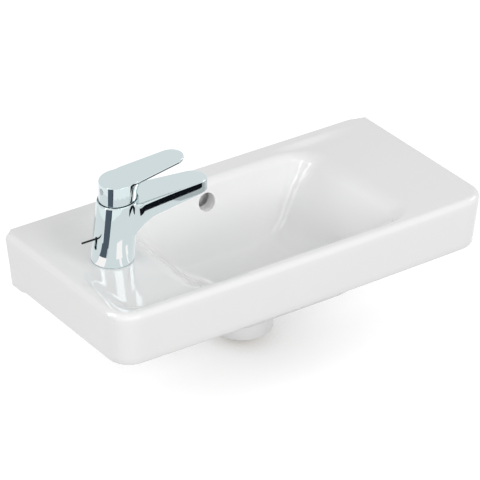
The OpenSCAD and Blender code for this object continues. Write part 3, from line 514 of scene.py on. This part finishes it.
# Each ring stays a little below and inside the one before
for k, (u, z) in enumerate(shell_line):
    level = np.minimum(z - SHELL_T, open_to - 0.8 * (k + 1))
    rings.append(ring(np.minimum(reach_of(bowl_outline(u, SHELL_T)), shell_top - 0.2 * (k + 1)), level))
shell_foot = -BOWL_DEPTH - SHELL_T
rings += [ring(r, z) for r, z in (
    (BOSS_R + 2.5, shell_foot - 0.4), (BOSS_R + 0.7, shell_foot - 1.6), (BOSS_R, shell_foot - 4),
    (BOSS_R, -BOSS_MID), (BOSS_R, -BOSS_DEPTH + 2), (BOSS_R - 0.6, -BOSS_DEPTH + 0.6),
    (BOSS_R - 2, -BOSS_DEPTH), (REBATE_R, -BOSS_DEPTH), (REBATE_R, -BOSS_DEPTH + REBATE))]
rings = np.array(rings)
# The rail along the wall ends a little lower than the apron
low_share = smooth((-rings[:, :, 2] - LOW_FROM) / LOW_RUN) * (-rings[:, :, 2] <= APRON_H + 0.01)
from_drain = np.hypot(rings[:, :, 0], rings[:, :, 1] - DRAIN_Y)
on_foot = from_drain > inner_wall(foot_inset + 4) - 0.5
near_wall = smooth((rings[:, :, 1] + RAIL_T + 3) / RAIL_EASE)
rings[:, :, 2] -= RAIL_DROP * low_share * near_wall * on_foot


def outwards(mesh):
    """The mesh with its doubles merged and its faces turned outwards."""
    work = bmesh.new()
    work.from_mesh(mesh)
    bmesh.ops.remove_doubles(work, verts=work.verts, dist=1e-4)
    bmesh.ops.dissolve_degenerate(work, edges=work.edges, dist=1e-4)
    bmesh.ops.recalc_face_normals(work, faces=work.faces)
    work.to_mesh(mesh)
    work.free()
    return mesh


def tube_mesh(name, rings, wrap=False):
    """A mesh from rings of points, each joined to the next; wrap joins the last to the first."""
    count, size = rings.shape[:2]
    faces = []
    for i in range(count if wrap else count - 1):
        a, b = i * size, (i + 1) % count * size
        faces += [(a + j, a + (j + 1) % size, b + (j + 1) % size, b + j) for j in range(size)]
    if not wrap:
        faces += [tuple(range(size))[::-1], tuple(range((count - 1) * size, count * size))]
    mesh = bpy.data.meshes.new(name)
    mesh.from_pydata([tuple(p) for p in rings.reshape(-1, 3)], [], faces)
    return outwards(mesh)


def cylinder_mesh(name, p, q, r, sides=96):
    """A closed round bar from p to q."""
    p, q = np.array(p, float), np.array(q, float)
    way = (q - p) / np.linalg.norm(q - p)
    side = np.cross(way, [0, 0, 1] if abs(way[2]) < 0.9 else [1, 0, 0])
    side /= np.linalg.norm(side)
    a = np.linspace(0, 2 * np.pi, sides, endpoint=False)[:, None]
    turn = r * (np.cos(a) * side + np.sin(a) * np.cross(way, side))
    return tube_mesh(name, np.array([p + turn, q + turn]))


def box_mesh(name, low, high):
    (x0, y0, z0), (x1, y1, z1) = low, high
    corners = [(x0, y0), (x1, y0), (x1, y1), (x0, y1)]
    return tube_mesh(name, np.array([[(x, y, z) for x, y in corners] for z in (z0, z1)], float))


def carve(mesh, joined=(), cut=()):
    """The mesh with others joined to it and cut from it, as one new mesh."""
    base = bpy.data.objects.new("blank", mesh)
    scene.collection.objects.link(base)
    tools = []
    for operation, meshes in (("UNION", joined), ("DIFFERENCE", cut)):
        for tool_mesh in meshes:
            tool = bpy.data.objects.new("tool", tool_mesh)
            scene.collection.objects.link(tool)
            tools.append(tool)
            step = base.modifiers.new("step", "BOOLEAN")
            step.operation, step.object, step.solver = operation, tool, "MANIFOLD"
    done = bpy.data.meshes.new_from_object(base.evaluated_get(bpy.context.evaluated_depsgraph_get()))
    for o in [base] + tools:
        bpy.data.objects.remove(o)
    return done


def finish(name, dark, light, patches, grain, rough, rough_span, metallic=0.0, peel=None):
    """A finish whose colour drifts between two tones, with a roughness that varies from rough upwards.
    Patches and grain are how fine the two are; peel is the strength, depth and fineness of small waves."""
    material = bpy.data.materials.new(name)
    material.use_nodes = True
    graph = Graph(material.node_tree)
    place = graph.out("ShaderNodeTexCoord", pick="Object")

    def mottle(scale, detail=2.0):
        return graph.out("ShaderNodeTexNoise", Vector=place, Scale=scale, Detail=detail)

    colour = graph.out("ShaderNodeMix", {"data_type": "RGBA"}, 2,
                       _0=mottle(patches), _6=(*dark, 1), _7=(*light, 1))
    skin = graph.node("ShaderNodeBsdfPrincipled", Base_Color=colour, Metallic=metallic,
                      Roughness=mottle(grain) * rough_span + rough)
    if peel:
        strength, depth, fineness = peel
        waves = graph.out("ShaderNodeBump", Strength=strength, Distance=depth, Height=mottle(fineness, 1.0))
        graph.plug(skin.inputs["Normal"], waves)
    graph.node("ShaderNodeOutputMaterial", Surface=Value(graph, skin.outputs[0]))
    return material


def dress(material, *names):
    """Solids of the frame get a finish and keep their shape."""
    for name in names:
        mesh = nodes[name].data
        mesh.materials.clear()
        mesh.materials.append(material)


def piece(name, mesh, body, material, stands_for, sharp):
    """A finished piece: from the rim's frame in millimetres to the part's frame in metres.
    Edges that turn by more than sharp, in degrees, stay sharp."""
    mesh.transform(Matrix.Scale(MM, 4) @ Matrix.Translation((0, 0, RIM_Z)))
    mesh.materials.clear()
    mesh.materials.append(material)
    mesh.name = name
    mesh.shade_smooth()
    mesh.set_sharp_from_angle(angle=math.radians(sharp))
    made = bpy.data.objects.new(name, mesh)
    scene.collection.objects.link(made)
    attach(made, body)
    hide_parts(stands_for)
    dress(material, stands_for)


glaze = finish("white_glaze", (0.905, 0.905, 0.905), (0.92, 0.92, 0.918), 14, 60, 0.045, 0.05,
               peel=(0.04, 0.0004, 45))
casting = tube_mesh("casting", rings, wrap=True)
# Behind the bowl a hollow spine leads the overflow's water to the drain
spine_rings = np.array([[(x, y, z) for y, z in SPINE_SIDE] for x in (-SPINE_HALF, SPINE_HALF)], float)
spine = tube_mesh("spine", spine_rings)
cuts = [cylinder_mesh("tap_hole", (TAP_X, TAP_Y, -40), (TAP_X, TAP_Y, 10), TAP_HOLE_R),
        cylinder_mesh("drain_hole", (0, DRAIN_Y, -BOSS_DEPTH - 6), (0, DRAIN_Y, -BOWL_DEPTH - 2),
                      DRAIN_R, 128),
        cylinder_mesh("overflow", (0, CHANNEL_BACK, OVERFLOW_Z), (0, OVERFLOW_END, OVERFLOW_Z), OVERFLOW_R),
        box_mesh("channel", (-CHANNEL_HALF, CHANNEL_FRONT, CHANNEL_LOW),
                 (CHANNEL_HALF, CHANNEL_BACK, CHANNEL_TOP)),
        box_mesh("channel_foot", (-CHANNEL_HALF, DRAIN_Y, CHANNEL_LOW),
                 (CHANNEL_HALF, CHANNEL_BACK, CHANNEL_FOOT))]
# A small glazed radius round the overflow's mouth, square to the bowl's back wall
wall_run = (BOWL_BACK - DRAIN_Y - LAND_R) * WALL_FOOT[0]
wall_y = BOWL_BACK + wall_run * OVERFLOW_Z / -WALL_FOOT[1]
lip = [(OVERFLOW_R + LIP_R * (1 - math.cos(a)), -LIP_R * (1 - math.sin(a))) for a in quarter(8)]
lip = [(OVERFLOW_R, -4 * LIP_R)] + lip + [(OVERFLOW_R + LIP_R, 4 * LIP_R)]
round_the_hole = np.linspace(0, 2 * np.pi, 96, endpoint=False)
lip_rings = np.array([[(r * math.cos(a), -out, r * math.sin(a)) for a in round_the_hole] for r, out in lip])
lean = np.array(Matrix.Rotation(-math.atan2(wall_run, -WALL_FOOT[1]), 3, "X"))
cuts.append(tube_mesh("lip", lip_rings @ lean.T + np.array([0, wall_y, OVERFLOW_Z])))
cuts += [cylinder_mesh("wall_hole", (x, -60, -RIM_Z), (x, 5, -RIM_Z), WALL_HOLE_R)
         for x in (-WALL_HOLE_X, WALL_HOLE_X)]
piece("basin_casting", carve(casting, [spine], cuts), "basin_unit", glaze, "basin", 38)

# Mixer body. One brass casting, polished and chromed: a leaning round body that opens into a flat
# spout, with a cup under the lever, a bore for the cartridge, a slot behind for the pull pin and a
# short spigot below that stands in the deck's hole.
MIX_X, MIX_Y, MIX_Z = TAP_X, TAP_Y, -DECK_DROP
JOINT_H, JOINT_LEAN, CAP_TILT = 73.6, 8.3, math.radians(6)
BODY_BASE_R, BODY_TOP_R, SPIGOT_R, SPIGOT_LENGTH = 24.0, 23.3, 15.2, 8.0
ROOT_X, ROOT_BODY_R, ROOT_R, UNDERSIDE_Z, BLEND = 3.2, 23.4, 26.0, 50.5, 5.0
SPOUT_AT, SPOUT_WIDE_R, SPOUT_REACH, SPOUT_TIP_R = 26.0, 23.6, 107.0, 15.8
SPOUT_TOP, SPOUT_LOW, SPOUT_SLOPE = 69.5, 55.0, math.tan(math.radians(1.8))
SIDE_R, TOP_R, RIM_EDGE, TOP_GAP = 1.6, 1.4, 0.6, 1.6
INSIDE_BODY, SHARE_Z, EDGE_Z, COLLAR_AT = 19.5, 66.0, 60.0, 70.0  # where the outlines are told apart
LEAVE_LOW, LEAVE_HIGH = 24.6, 34.0  # heights between which the spout's underside leaves the body
CUP_R, CUP_DEPTH, COLLAR_R, BORE_R, BORE_TOP, BORE_DEPTH = 22.23, 9.5, 17.0, 15.2, 2.0, 28.2
CHAMBER_R, CHAMBER_LOW, CHAMBER_HIGH = 10.5, 40.0, 65.5
ROD_X, ROD_HOLE_R, ROD_HOLE_TOP = -12.0, 2.8, 36.0
PIN_Z, PIN_TRAVEL, SLOT_HALF, SLOT_FROM = 31.3, 11.0, 2.3, -40.0
STUD_X, STUD_HOLE_R, STUD_HOLE_TOP = 11.5, 3.06, 12.0
INLET_X, INLET_Y, INLET_R, INLET_TOP = 2.0, 8.5, 4.5, 6.0
HOLE_FROM, HOLE_SIDES = -10.0, 48


def tapered(x1, r1, x2, r2, along=26, tip=44, base=120):
    """Outline of two discs joined by their tangents, and the outward normal at each point."""
    a = math.acos((r1 - r2) / (x2 - x1))
    turn = np.concatenate([np.linspace(-a, a, tip), np.full(along - 2, a),
                           np.linspace(a, 2 * np.pi - a, base), np.full(along - 2, -a)])
    run = np.linspace(1, 0, along)[1:-1]
    share = np.concatenate([np.ones(tip), run, np.zeros(base), run[::-1]])
    cx, r = mix(x1, x2, share), mix(r1, r2, share)
    normal = np.column_stack([np.cos(turn), np.sin(turn)])
    return np.column_stack([cx, 0 * cx]) + normal * r[:, None], normal


def place_in(points, origin, tilt=0.0):
    """Points of a piece's own frame, tilted back about Y and moved to its origin."""
    c, s = math.cos(tilt), math.sin(tilt)
    x, y, z = points[..., 0], points[..., 1], points[..., 2]
    return np.stack([origin[0] + x * c - z * s, origin[1] + y, origin[2] + x * s + z * c], axis=-1)


# Rays from the spout's root. Behind it they are spread evenly, because the spout's outline lies
# inside the body there.
plan, plan_normal = tapered(SPOUT_AT, SPOUT_WIDE_R, SPOUT_REACH, SPOUT_TIP_R)
root = np.array([ROOT_X, 0])
heading = plan - root
plan_reach = np.hypot(heading[:, 0], heading[:, 1])
angle = np.unwrap(np.arctan2(heading[:, 1], heading[:, 0]))
first, last = np.nonzero(plan_reach < INSIDE_BODY)[0][[0, -1]]
angle[first:last + 1] = np.linspace(angle[first - 1], angle[last + 1], last - first + 3)[1:-1]
plan_reach[first:last + 1] = 0
ray = np.column_stack([np.cos(angle), np.sin(angle)])


def body_reach(z):
    """Distance from the root's axis to the round body's skin along each ray, at height z."""
    z = np.asarray(z, float) + np.zeros(len(ray))
    cx = z * JOINT_LEAN / JOINT_H - ROOT_X
    r = mix(BODY_BASE_R, BODY_TOP_R, z / JOINT_H)
    along = ray[:, 0] * cx
    return along + np.sqrt(np.maximum(along ** 2 - cx ** 2 + r ** 2, 0))


def joint_plane(x):
    return JOINT_H + (x - JOINT_LEAN) * math.tan(CAP_TILT)


def top_plane(x):
    return np.minimum(SPOUT_TOP + (SPOUT_REACH - x) * SPOUT_SLOPE, joint_plane(x) - TOP_GAP)


def under_curve(reach):
    """Height of the spout's underside at a distance from the root's axis: an arc, then a slope."""
    arc_end = ROOT_BODY_R + ROOT_R
    drop = np.sqrt(np.maximum(ROOT_R ** 2 - (arc_end - np.minimum(reach, arc_end)) ** 2, 0))
    slope = (SPOUT_LOW - UNDERSIDE_Z) / (SPOUT_REACH + SPOUT_TIP_R - ROOT_X - arc_end)
    return UNDERSIDE_Z - ROOT_R + drop + np.maximum(reach - arc_end, 0) * slope


def skin_reach(z):
    """The body and the spout together, with a soft blend where one leaves the other."""
    body = body_reach(z)
    close = np.maximum(BLEND - np.abs(plan_reach - body), 0) / BLEND
    return np.maximum(plan_reach, body) + close ** 2 * BLEND / 4


def at_reach(reach, z):
    """A ring of points at a distance from the root's axis along every ray."""
    xy = root + ray * (np.asarray(reach) + np.zeros(len(ray)))[:, None]
    return np.column_stack([xy, z + np.zeros(len(ray))])


def at_edge(inset, z):
    """The skin's outline at a height, drawn in by an inset where it is the spout's."""
    points = at_reach(skin_reach(z), z)
    points[:, :2] -= plan_normal * (inset * spout_share)[:, None]
    return points


def joint_ring(reach, z):
    """A round ring in the frame of the joint under the lever."""
    flat = np.column_stack([reach * np.cos(angle), reach * np.sin(angle), np.full(len(angle), z)])
    return place_in(flat, joint_o, CAP_TILT)


# Heights at which the underside leaves the body, and of the spout's lower and upper edges
spout_share = smooth((plan_reach - body_reach(SHARE_Z)) / 3)
leave_z = np.full(len(ray), mix(LEAVE_LOW, LEAVE_HIGH, 0.15))
for _ in range(30):
    sink = ROOT_R ** 2 - (ROOT_BODY_R + ROOT_R - np.maximum(body_reach(leave_z), ROOT_BODY_R)) ** 2
    leave_z = mix(leave_z, UNDERSIDE_Z - ROOT_R + np.sqrt(np.maximum(sink, 0)), 0.5)
leave_z = np.clip(leave_z, LEAVE_LOW, LEAVE_HIGH)
edge = skin_reach(EDGE_Z)
collar_z = top_plane(ROOT_X + ray[:, 0] * body_reach(COLLAR_AT))
top_edge = mix(collar_z, top_plane(ROOT_X + ray[:, 0] * edge), spout_share)
under_edge = mix(leave_z + 6, under_curve(edge - 0.5), spout_share)
under_edge = np.minimum(under_edge, top_edge - SIDE_R - TOP_R - 1)
# From the spigot up the round body to where the spout leaves it
loops = [at_reach(r, z) - np.array([ROOT_X, 0, 0]) for r, z in (
    (SPIGOT_R - 0.7, -SPIGOT_LENGTH), (SPIGOT_R, -SPIGOT_LENGTH + 0.6), (SPIGOT_R, -0.2))]
loops += [at_reach(body_reach(0.0) - inset, z) for inset, z in ((2.0, 0.0), (0.5, 0.0), (0.12, 0.15))]
for z in [mix(0.5, leave_z, t) for t in np.linspace(0, 1, 9)]:
    loops.append(at_reach(body_reach(z), z))
# Out along the underside, round its edge, up the side and round the upper edge
leave, under_rim = at_reach(body_reach(leave_z), leave_z), at_edge(SIDE_R, under_edge)
for t in np.linspace(0, 1, 21)[1:] ** 1.5:
    flat = mix(leave, under_rim, t)
    away = np.hypot(flat[:, 0] - ROOT_X, flat[:, 1])
    spout_z = np.minimum(under_curve(np.maximum(away, ROOT_BODY_R)), top_edge - 4)
    z = mix(flat[:, 2], spout_z, spout_share)
    plain = at_reach(body_reach(z), z)
    loops.append(np.column_stack([mix(plain[:, :2], flat[:, :2], spout_share[:, None]), z]))
side_z = loops[-1][:, 2]
for turn in quarter(6, 1):
    loops.append(at_edge(SIDE_R * (1 - math.sin(turn)), side_z + SIDE_R * (1 - math.cos(turn))))
for t in np.linspace(0, 1, 7)[1:]:
    loops.append(at_edge(0, mix(side_z + SIDE_R, top_edge - TOP_R, t)))
for turn in quarter(6, 1):
    loops.append(at_edge(TOP_R * (1 - math.cos(turn)), top_edge - TOP_R * (1 - math.sin(turn))))
# Over the spout's top face to the collar, then up to the joint's rim and down into the cup and the bore
collar_reach = body_reach(collar_z)
start, goal = loops[-1], at_reach(collar_reach + 0.7 * spout_share, collar_z)
for t in np.linspace(0, 1, 15)[1:]:
    loops.append(mix(start, goal, t))
    loops[-1][:, 2] = mix(loops[-1][:, 2], top_plane(loops[-1][:, 0]), spout_share * (t < 1))
loops.append(at_reach(collar_reach + 0.2 * spout_share, collar_z + 0.25))
joint_o = (MIX_X + JOINT_LEAN, MIX_Y, MIX_Z + JOINT_H)
cup_rings = [joint_ring(r, z) for r, z in (
    (BODY_TOP_R, -RIM_EDGE), (BODY_TOP_R - 0.1, -0.2), (BODY_TOP_R - 0.3, -0.05), (CUP_R + 0.25, 0),
    (CUP_R, -0.2), (CUP_R, -CUP_DEPTH + 0.4), (CUP_R - 0.4, -CUP_DEPTH), (COLLAR_R + 0.3, -CUP_DEPTH),
    (COLLAR_R, -CUP_DEPTH + 0.3), (COLLAR_R, -BORE_TOP), (BORE_R, -BORE_TOP), (BORE_R, -BORE_DEPTH))]
body_rings = place_in(np.array(loops), (MIX_X, MIX_Y, MIX_Z))


def mixer_hole(name, x, y, low, high, r, sides=HOLE_SIDES):
    """An upright hole in the mixer; its place is measured from the middle of the foot."""
    ends = [(MIX_X + x, MIX_Y + y, MIX_Z + z) for z in (low, high)]
    return cylinder_mesh(name, *ends, r, sides)


slot_r = SLOT_HALF - 0.001
slot = rounded(-SLOT_HALF, SLOT_HALF, PIN_Z - PIN_TRAVEL - SLOT_HALF, PIN_Z + SLOT_HALF, slot_r, slot_r, 10)
slot_rings = np.array([[(x, y, z) for y, z in slot] for x in (SLOT_FROM, ROD_X)])
holes = [mixer_hole("chamber", SPOUT_REACH, 0, CHAMBER_LOW, CHAMBER_HIGH, CHAMBER_R, 96),
         tube_mesh("slot", place_in(slot_rings, (MIX_X, MIX_Y, MIX_Z))),
         mixer_hole("rod_hole", ROD_X, 0, HOLE_FROM, ROD_HOLE_TOP, ROD_HOLE_R),
         mixer_hole("stud_hole", STUD_X, 0, HOLE_FROM, STUD_HOLE_TOP, STUD_HOLE_R)]
holes += [mixer_hole("inlet", INLET_X, y, HOLE_FROM, INLET_TOP, INLET_R) for y in (-INLET_Y, INLET_Y)]
body_mesh = carve(tube_mesh("body", np.concatenate([body_rings, np.array(cup_rings)])), cut=holes)
chrome = finish("bright_chrome", (0.60, 0.685, 0.70), (0.62, 0.70, 0.715), 30, 220, 0.03, 0.03,
                metallic=1.0)
piece("mixer_body_cast", body_mesh, "basin_unit", chrome, "mixer_body", 42)

# Mounting stud. A zinc-plated M6 threaded rod that hangs from the mixer's foot through the deck.
# Its thread is a ridge that winds round a core, made by a node tree.
STUD_CORE, STUD_CREST, STUD_PITCH, STUD_LOW, STUD_LENGTH = 2.45, 3.0, 1.0, -70.0, 82.0
STEPS_PER_TURN, CORE_SIDES = 24, 40


def thread_tree():
    """Geometry nodes: a round core with a three-sided ridge wound round it."""
    tree = bpy.data.node_groups.new("wound_thread", "GeometryNodeTree")
    ids = {}
    for name, kind in (("Core", "Float"), ("Crest", "Float"), ("Pitch", "Float"), ("Length", "Float"),
                       ("Finish", "Material")):
        socket = tree.interface.new_socket(name, in_out="INPUT", socket_type="NodeSocket" + kind)
        ids[name] = socket.identifier
    tree.interface.new_socket("Geometry", in_out="OUTPUT", socket_type="NodeSocketGeometry")
    graph = Graph(tree)
    given = graph.node("NodeGroupInput").outputs
    core, crest, pitch, length, look = [Value(graph, given[name]) for name in ids]
    depth = crest - core
    climb = length - pitch * 1.5
    middle = core + depth * 0.3
    path = graph.out("GeometryNodeCurveSpiral", Resolution=STEPS_PER_TURN, Rotations=climb / pitch,
                     Start_Radius=middle, End_Radius=middle, Height=climb)
    upright = graph.out("GeometryNodeSetCurveNormal", {"mode": "Z_UP"}, _0=path)
    section = graph.out("GeometryNodeCurvePrimitiveCircle", Resolution=3, Radius=depth * 0.7)
    ridge = graph.out("GeometryNodeCurveToMesh", Curve=upright, Profile_Curve=section, Fill_Caps=True)
    ridge_lift = graph.out("ShaderNodeCombineXYZ", Z=pitch * 0.75)
    lifted = graph.out("GeometryNodeTransform", Geometry=ridge, Translation=ridge_lift)
    bar = graph.out("GeometryNodeMeshCylinder", Vertices=CORE_SIDES, Radius=core, Depth=length)
    bar_lift = graph.out("ShaderNodeCombineXYZ", Z=length * 0.5)
    standing = graph.out("GeometryNodeTransform", Geometry=bar, Translation=bar_lift)
    both = graph.node("GeometryNodeJoinGeometry", Geometry=lifted)
    graph.plug(both.inputs[0], standing)
    real = graph.out("GeometryNodeRealizeInstances", Geometry=Value(graph, both.outputs[0]))
    painted = graph.out("GeometryNodeSetMaterial", Geometry=real, Material=look)
    graph.node("NodeGroupOutput", Geometry=painted)
    return tree, ids


steel = finish("zinc_plate", (0.60, 0.60, 0.58), (0.68, 0.68, 0.67), 90, 240, 0.26, 0.16, metallic=1.0)
thread, thread_ids = thread_tree()
blank = bpy.data.objects.new("thread_blank", bpy.data.meshes.new("thread_blank"))
scene.collection.objects.link(blank)
wind = blank.modifiers.new("thread", "NODES")
wind.node_group = thread
for name, value in (("Core", STUD_CORE), ("Crest", STUD_CREST), ("Pitch", STUD_PITCH),
                    ("Length", STUD_LENGTH), ("Finish", steel)):
    wind[thread_ids[name]] = value
stud_mesh = bpy.data.meshes.new_from_object(blank.evaluated_get(bpy.context.evaluated_depsgraph_get()))
bpy.data.objects.remove(blank)
stud_mesh.transform(Matrix.Translation((MIX_X + STUD_X, MIX_Y, MIX_Z + STUD_LOW)))
piece("mounting_stud_threaded", outwards(stud_mesh), "basin_unit", steel, "mounting_stud", 50)

# Seal and clamp of the mixer. A rubber ring lies between its foot and the deck. Under the deck a
# rubber horseshoe and a steel one go round the hoses, and a long brass nut on the stud pulls them up.
rubber = finish("black_rubber", (0.018, 0.018, 0.018), (0.032, 0.032, 0.03), 120, 300, 0.55, 0.2)
brass = finish("machined_brass", (0.62, 0.46, 0.20), (0.72, 0.56, 0.28), 70, 180, 0.24, 0.14, metallic=1.0)
dress(rubber, "base_seal", "clamp_gasket")
dress(steel, "clamp_washer")
dress(brass, "clamp_nut")

# Cartridge. A moulded housing on a base with three ports and their seal rings. In it a lapped ceramic
# disc slides on a fixed one, pushed by a carrier, and the rotor turns both and holds the lever's pin.
# A brass ring nut screws it down in the mixer's bore.
plastic = finish("pale_plastic", (0.72, 0.73, 0.72), (0.78, 0.79, 0.78), 60, 260, 0.32, 0.12)
alumina = finish("lapped_ceramic", (0.80, 0.77, 0.70), (0.84, 0.82, 0.76), 90, 300, 0.2, 0.1)
dress(plastic, "cartridge_housing", "cartridge_base", "disc_carrier", "rotor")
dress(rubber, "port_seals")
dress(alumina, "fixed_disc", "moving_disc")
dress(steel, "pivot_pin")
dress(brass, "retaining_nut")

# Lever. A chromed zinc casting: a round cap over the joint that spreads into a flat tapered plate.
# It stands on the cartridge's square spindle and is held by a small screw behind.
CAP_R, CAP_IN_R, CAP_H, CAP_CEILING, SKIRT = 21.3, 19.3, 22.9, 14.0, 0.8
CAP_LEAN = math.tan(math.radians(7.5))
LEVER_REACH, LEVER_TIP_R, LEVER_T, LEVER_EDGE, FLARE, FLARE_BEND = 68.0, 15.5, 4.5, 0.6, 8.0, 2.4
PLUG_Z, PLUG_HOLE_R, PLUG_HOLE_X = 15.4, 3.45, (-40.0, -10.0)
top_shift = CAP_H * CAP_LEAN
lever_plan, lever_normal = tapered(top_shift, CAP_R, top_shift + LEVER_REACH, LEVER_TIP_R)
lever_out = lever_plan - np.array([top_shift, 0])
spread = np.arctan2(lever_out[:, 1], lever_out[:, 0])
plate_share = smooth((np.hypot(lever_out[:, 0], lever_out[:, 1]) - CAP_R) / 4)
under = CAP_H - LEVER_T


def cap_ring(r, z, flare=0.0):
    """A ring of the cap's column, which leans forward and flares out under the lever."""
    out = r + flare * np.clip((z + SKIRT) / (under + SKIRT), 0, 1) ** FLARE_BEND
    x, y = z * CAP_LEAN + out * np.cos(spread), out * np.sin(spread)
    return np.column_stack([x, y, np.full(len(spread), z)])


def plate_ring(inset, z):
    """A ring of the flat plate; behind, where there is no plate, it lies on the column."""
    edge_line = lever_plan - lever_normal * (inset * plate_share)[:, None]
    flat = np.column_stack([edge_line, np.full(len(spread), z)])
    return mix(cap_ring(CAP_R, z), flat, plate_share[:, None])


lever_rings = [cap_ring(r, z) for r, z in (
    (CAP_IN_R, CAP_CEILING), (CAP_IN_R, 8), (CAP_IN_R, -SKIRT + 0.3), (CAP_IN_R + 0.3, -SKIRT),
    (CAP_R - 0.5, -SKIRT), (CAP_R - 0.12, -SKIRT + 0.15), (CAP_R, -SKIRT + 0.6))]
# The column flares towards the plate, by less than the room that the plate leaves
plate_foot = plate_ring(3.0, under)
room = np.hypot(plate_foot[:, 0] - under * CAP_LEAN, plate_foot[:, 1]) - CAP_R
flare = np.minimum(FLARE * np.maximum(np.cos(spread), 0), 0.4 * np.maximum(room, 0))
lever_rings += [cap_ring(CAP_R, z, flare) for z in np.linspace(1.5, under, 12)]
column_top = lever_rings[-1]
lever_rings += [mix(column_top, plate_foot, t) for t in np.linspace(0, 1, 12)[1:]]
lever_rings += [plate_ring(inset, under + rise) for inset, rise in (
    (2.0, 0.15), (1.0, 0.5), (0.35, 1.0), (0.06, 1.6), (0.0, 2.1))]
for turn in quarter(7):
    inset = LEVER_EDGE * (1 - math.cos(turn))
    lever_rings.append(plate_ring(inset, CAP_H - LEVER_EDGE * (1 - math.sin(turn))))
    lever_rings[-1][:, :2] -= lever_normal * (inset * (1 - plate_share))[:, None]
lever_rings.append(np.column_stack([lever_plan - lever_normal * 2.5, np.full(len(spread), CAP_H)]))
lever_mesh = tube_mesh("lever", place_in(np.array(lever_rings), joint_o, CAP_TILT))
plug_line = place_in(np.array([[x, 0, PLUG_Z] for x in PLUG_HOLE_X]), joint_o, CAP_TILT)
lever_mesh = carve(lever_mesh, cut=[cylinder_mesh("plug_hole", *plug_line, PLUG_HOLE_R, HOLE_SIDES)])
piece("lever_cast", lever_mesh, "lever", chrome, "lever_handle", 42)

# Small parts of the lever. A square steel spindle with a ball end moves the disc carrier, a grub
# screw holds the lever on it, and a grey moulded plug closes the screw's hole behind.
grey_plastic = finish("grey_plastic", (0.46, 0.50, 0.53), (0.53, 0.57, 0.60), 80, 260, 0.25, 0.1)
dress(steel, "lever_spindle", "grub_screw")
dress(grey_plastic, "index_plug")

# Aerator. A chromed ring screws into the spout's chamber and holds a moulded insert against a
# rubber seal.
dress(chrome, "aerator_ring")
dress(plastic, "aerator_insert")
dress(rubber, "aerator_seal")

# Pull rod and pin of the pop-up waste. The rod slides in the mixer. A thin turned steel pin with a
# rounded end is screwed crosswise into it and stands out of the slot behind.
PIN_END_X, ROD_R, PIN_R, PIN_THREAD_R, PIN_DEEP = -39.2, 2.5, 1.15, 1.0, 1.2
# The pin's near-black colour is painted shade: it stands in for the dark reflection along the pin.
pin_painted_dark = finish("pin_painted_dark", (0.022, 0.024, 0.026), (0.038, 0.04, 0.043), 90, 200, 0.12, 0.06,
                    metallic=1.0)
pin_line = [(PIN_END_X, 0.35), (PIN_END_X + 0.08, 0.7), (PIN_END_X + 0.3, 1.0), (PIN_END_X + 0.7, PIN_R),
            (ROD_X - ROD_R, PIN_R), (ROD_X - ROD_R, PIN_THREAD_R), (ROD_X + PIN_DEEP, PIN_THREAD_R)]
round_the_pin = np.linspace(0, 2 * np.pi, 32, endpoint=False)
pin_rings = np.array([[(x, r * math.cos(a), PIN_Z + r * math.sin(a)) for a in round_the_pin]
                      for x, r in pin_line])
pin_mesh = tube_mesh("pin", place_in(pin_rings, (MIX_X, MIX_Y, MIX_Z)))
piece("pull_pin_turned", pin_mesh, "pop_up_rod", pin_painted_dark, "pull_pin", 50)
dress(chrome, "pull_rod")

# Pop-up waste. A chromed flange sits in the drain's seat on a rubber ring and is screwed to a brass
# body from below. A gasket and a round nut close the boss, and the chromed plug has a seal ring.
dress(chrome, "waste_flange", "waste_plug")
dress(rubber, "flange_seal", "waste_gasket", "plug_seal")
dress(brass, "waste_body", "waste_locknut")
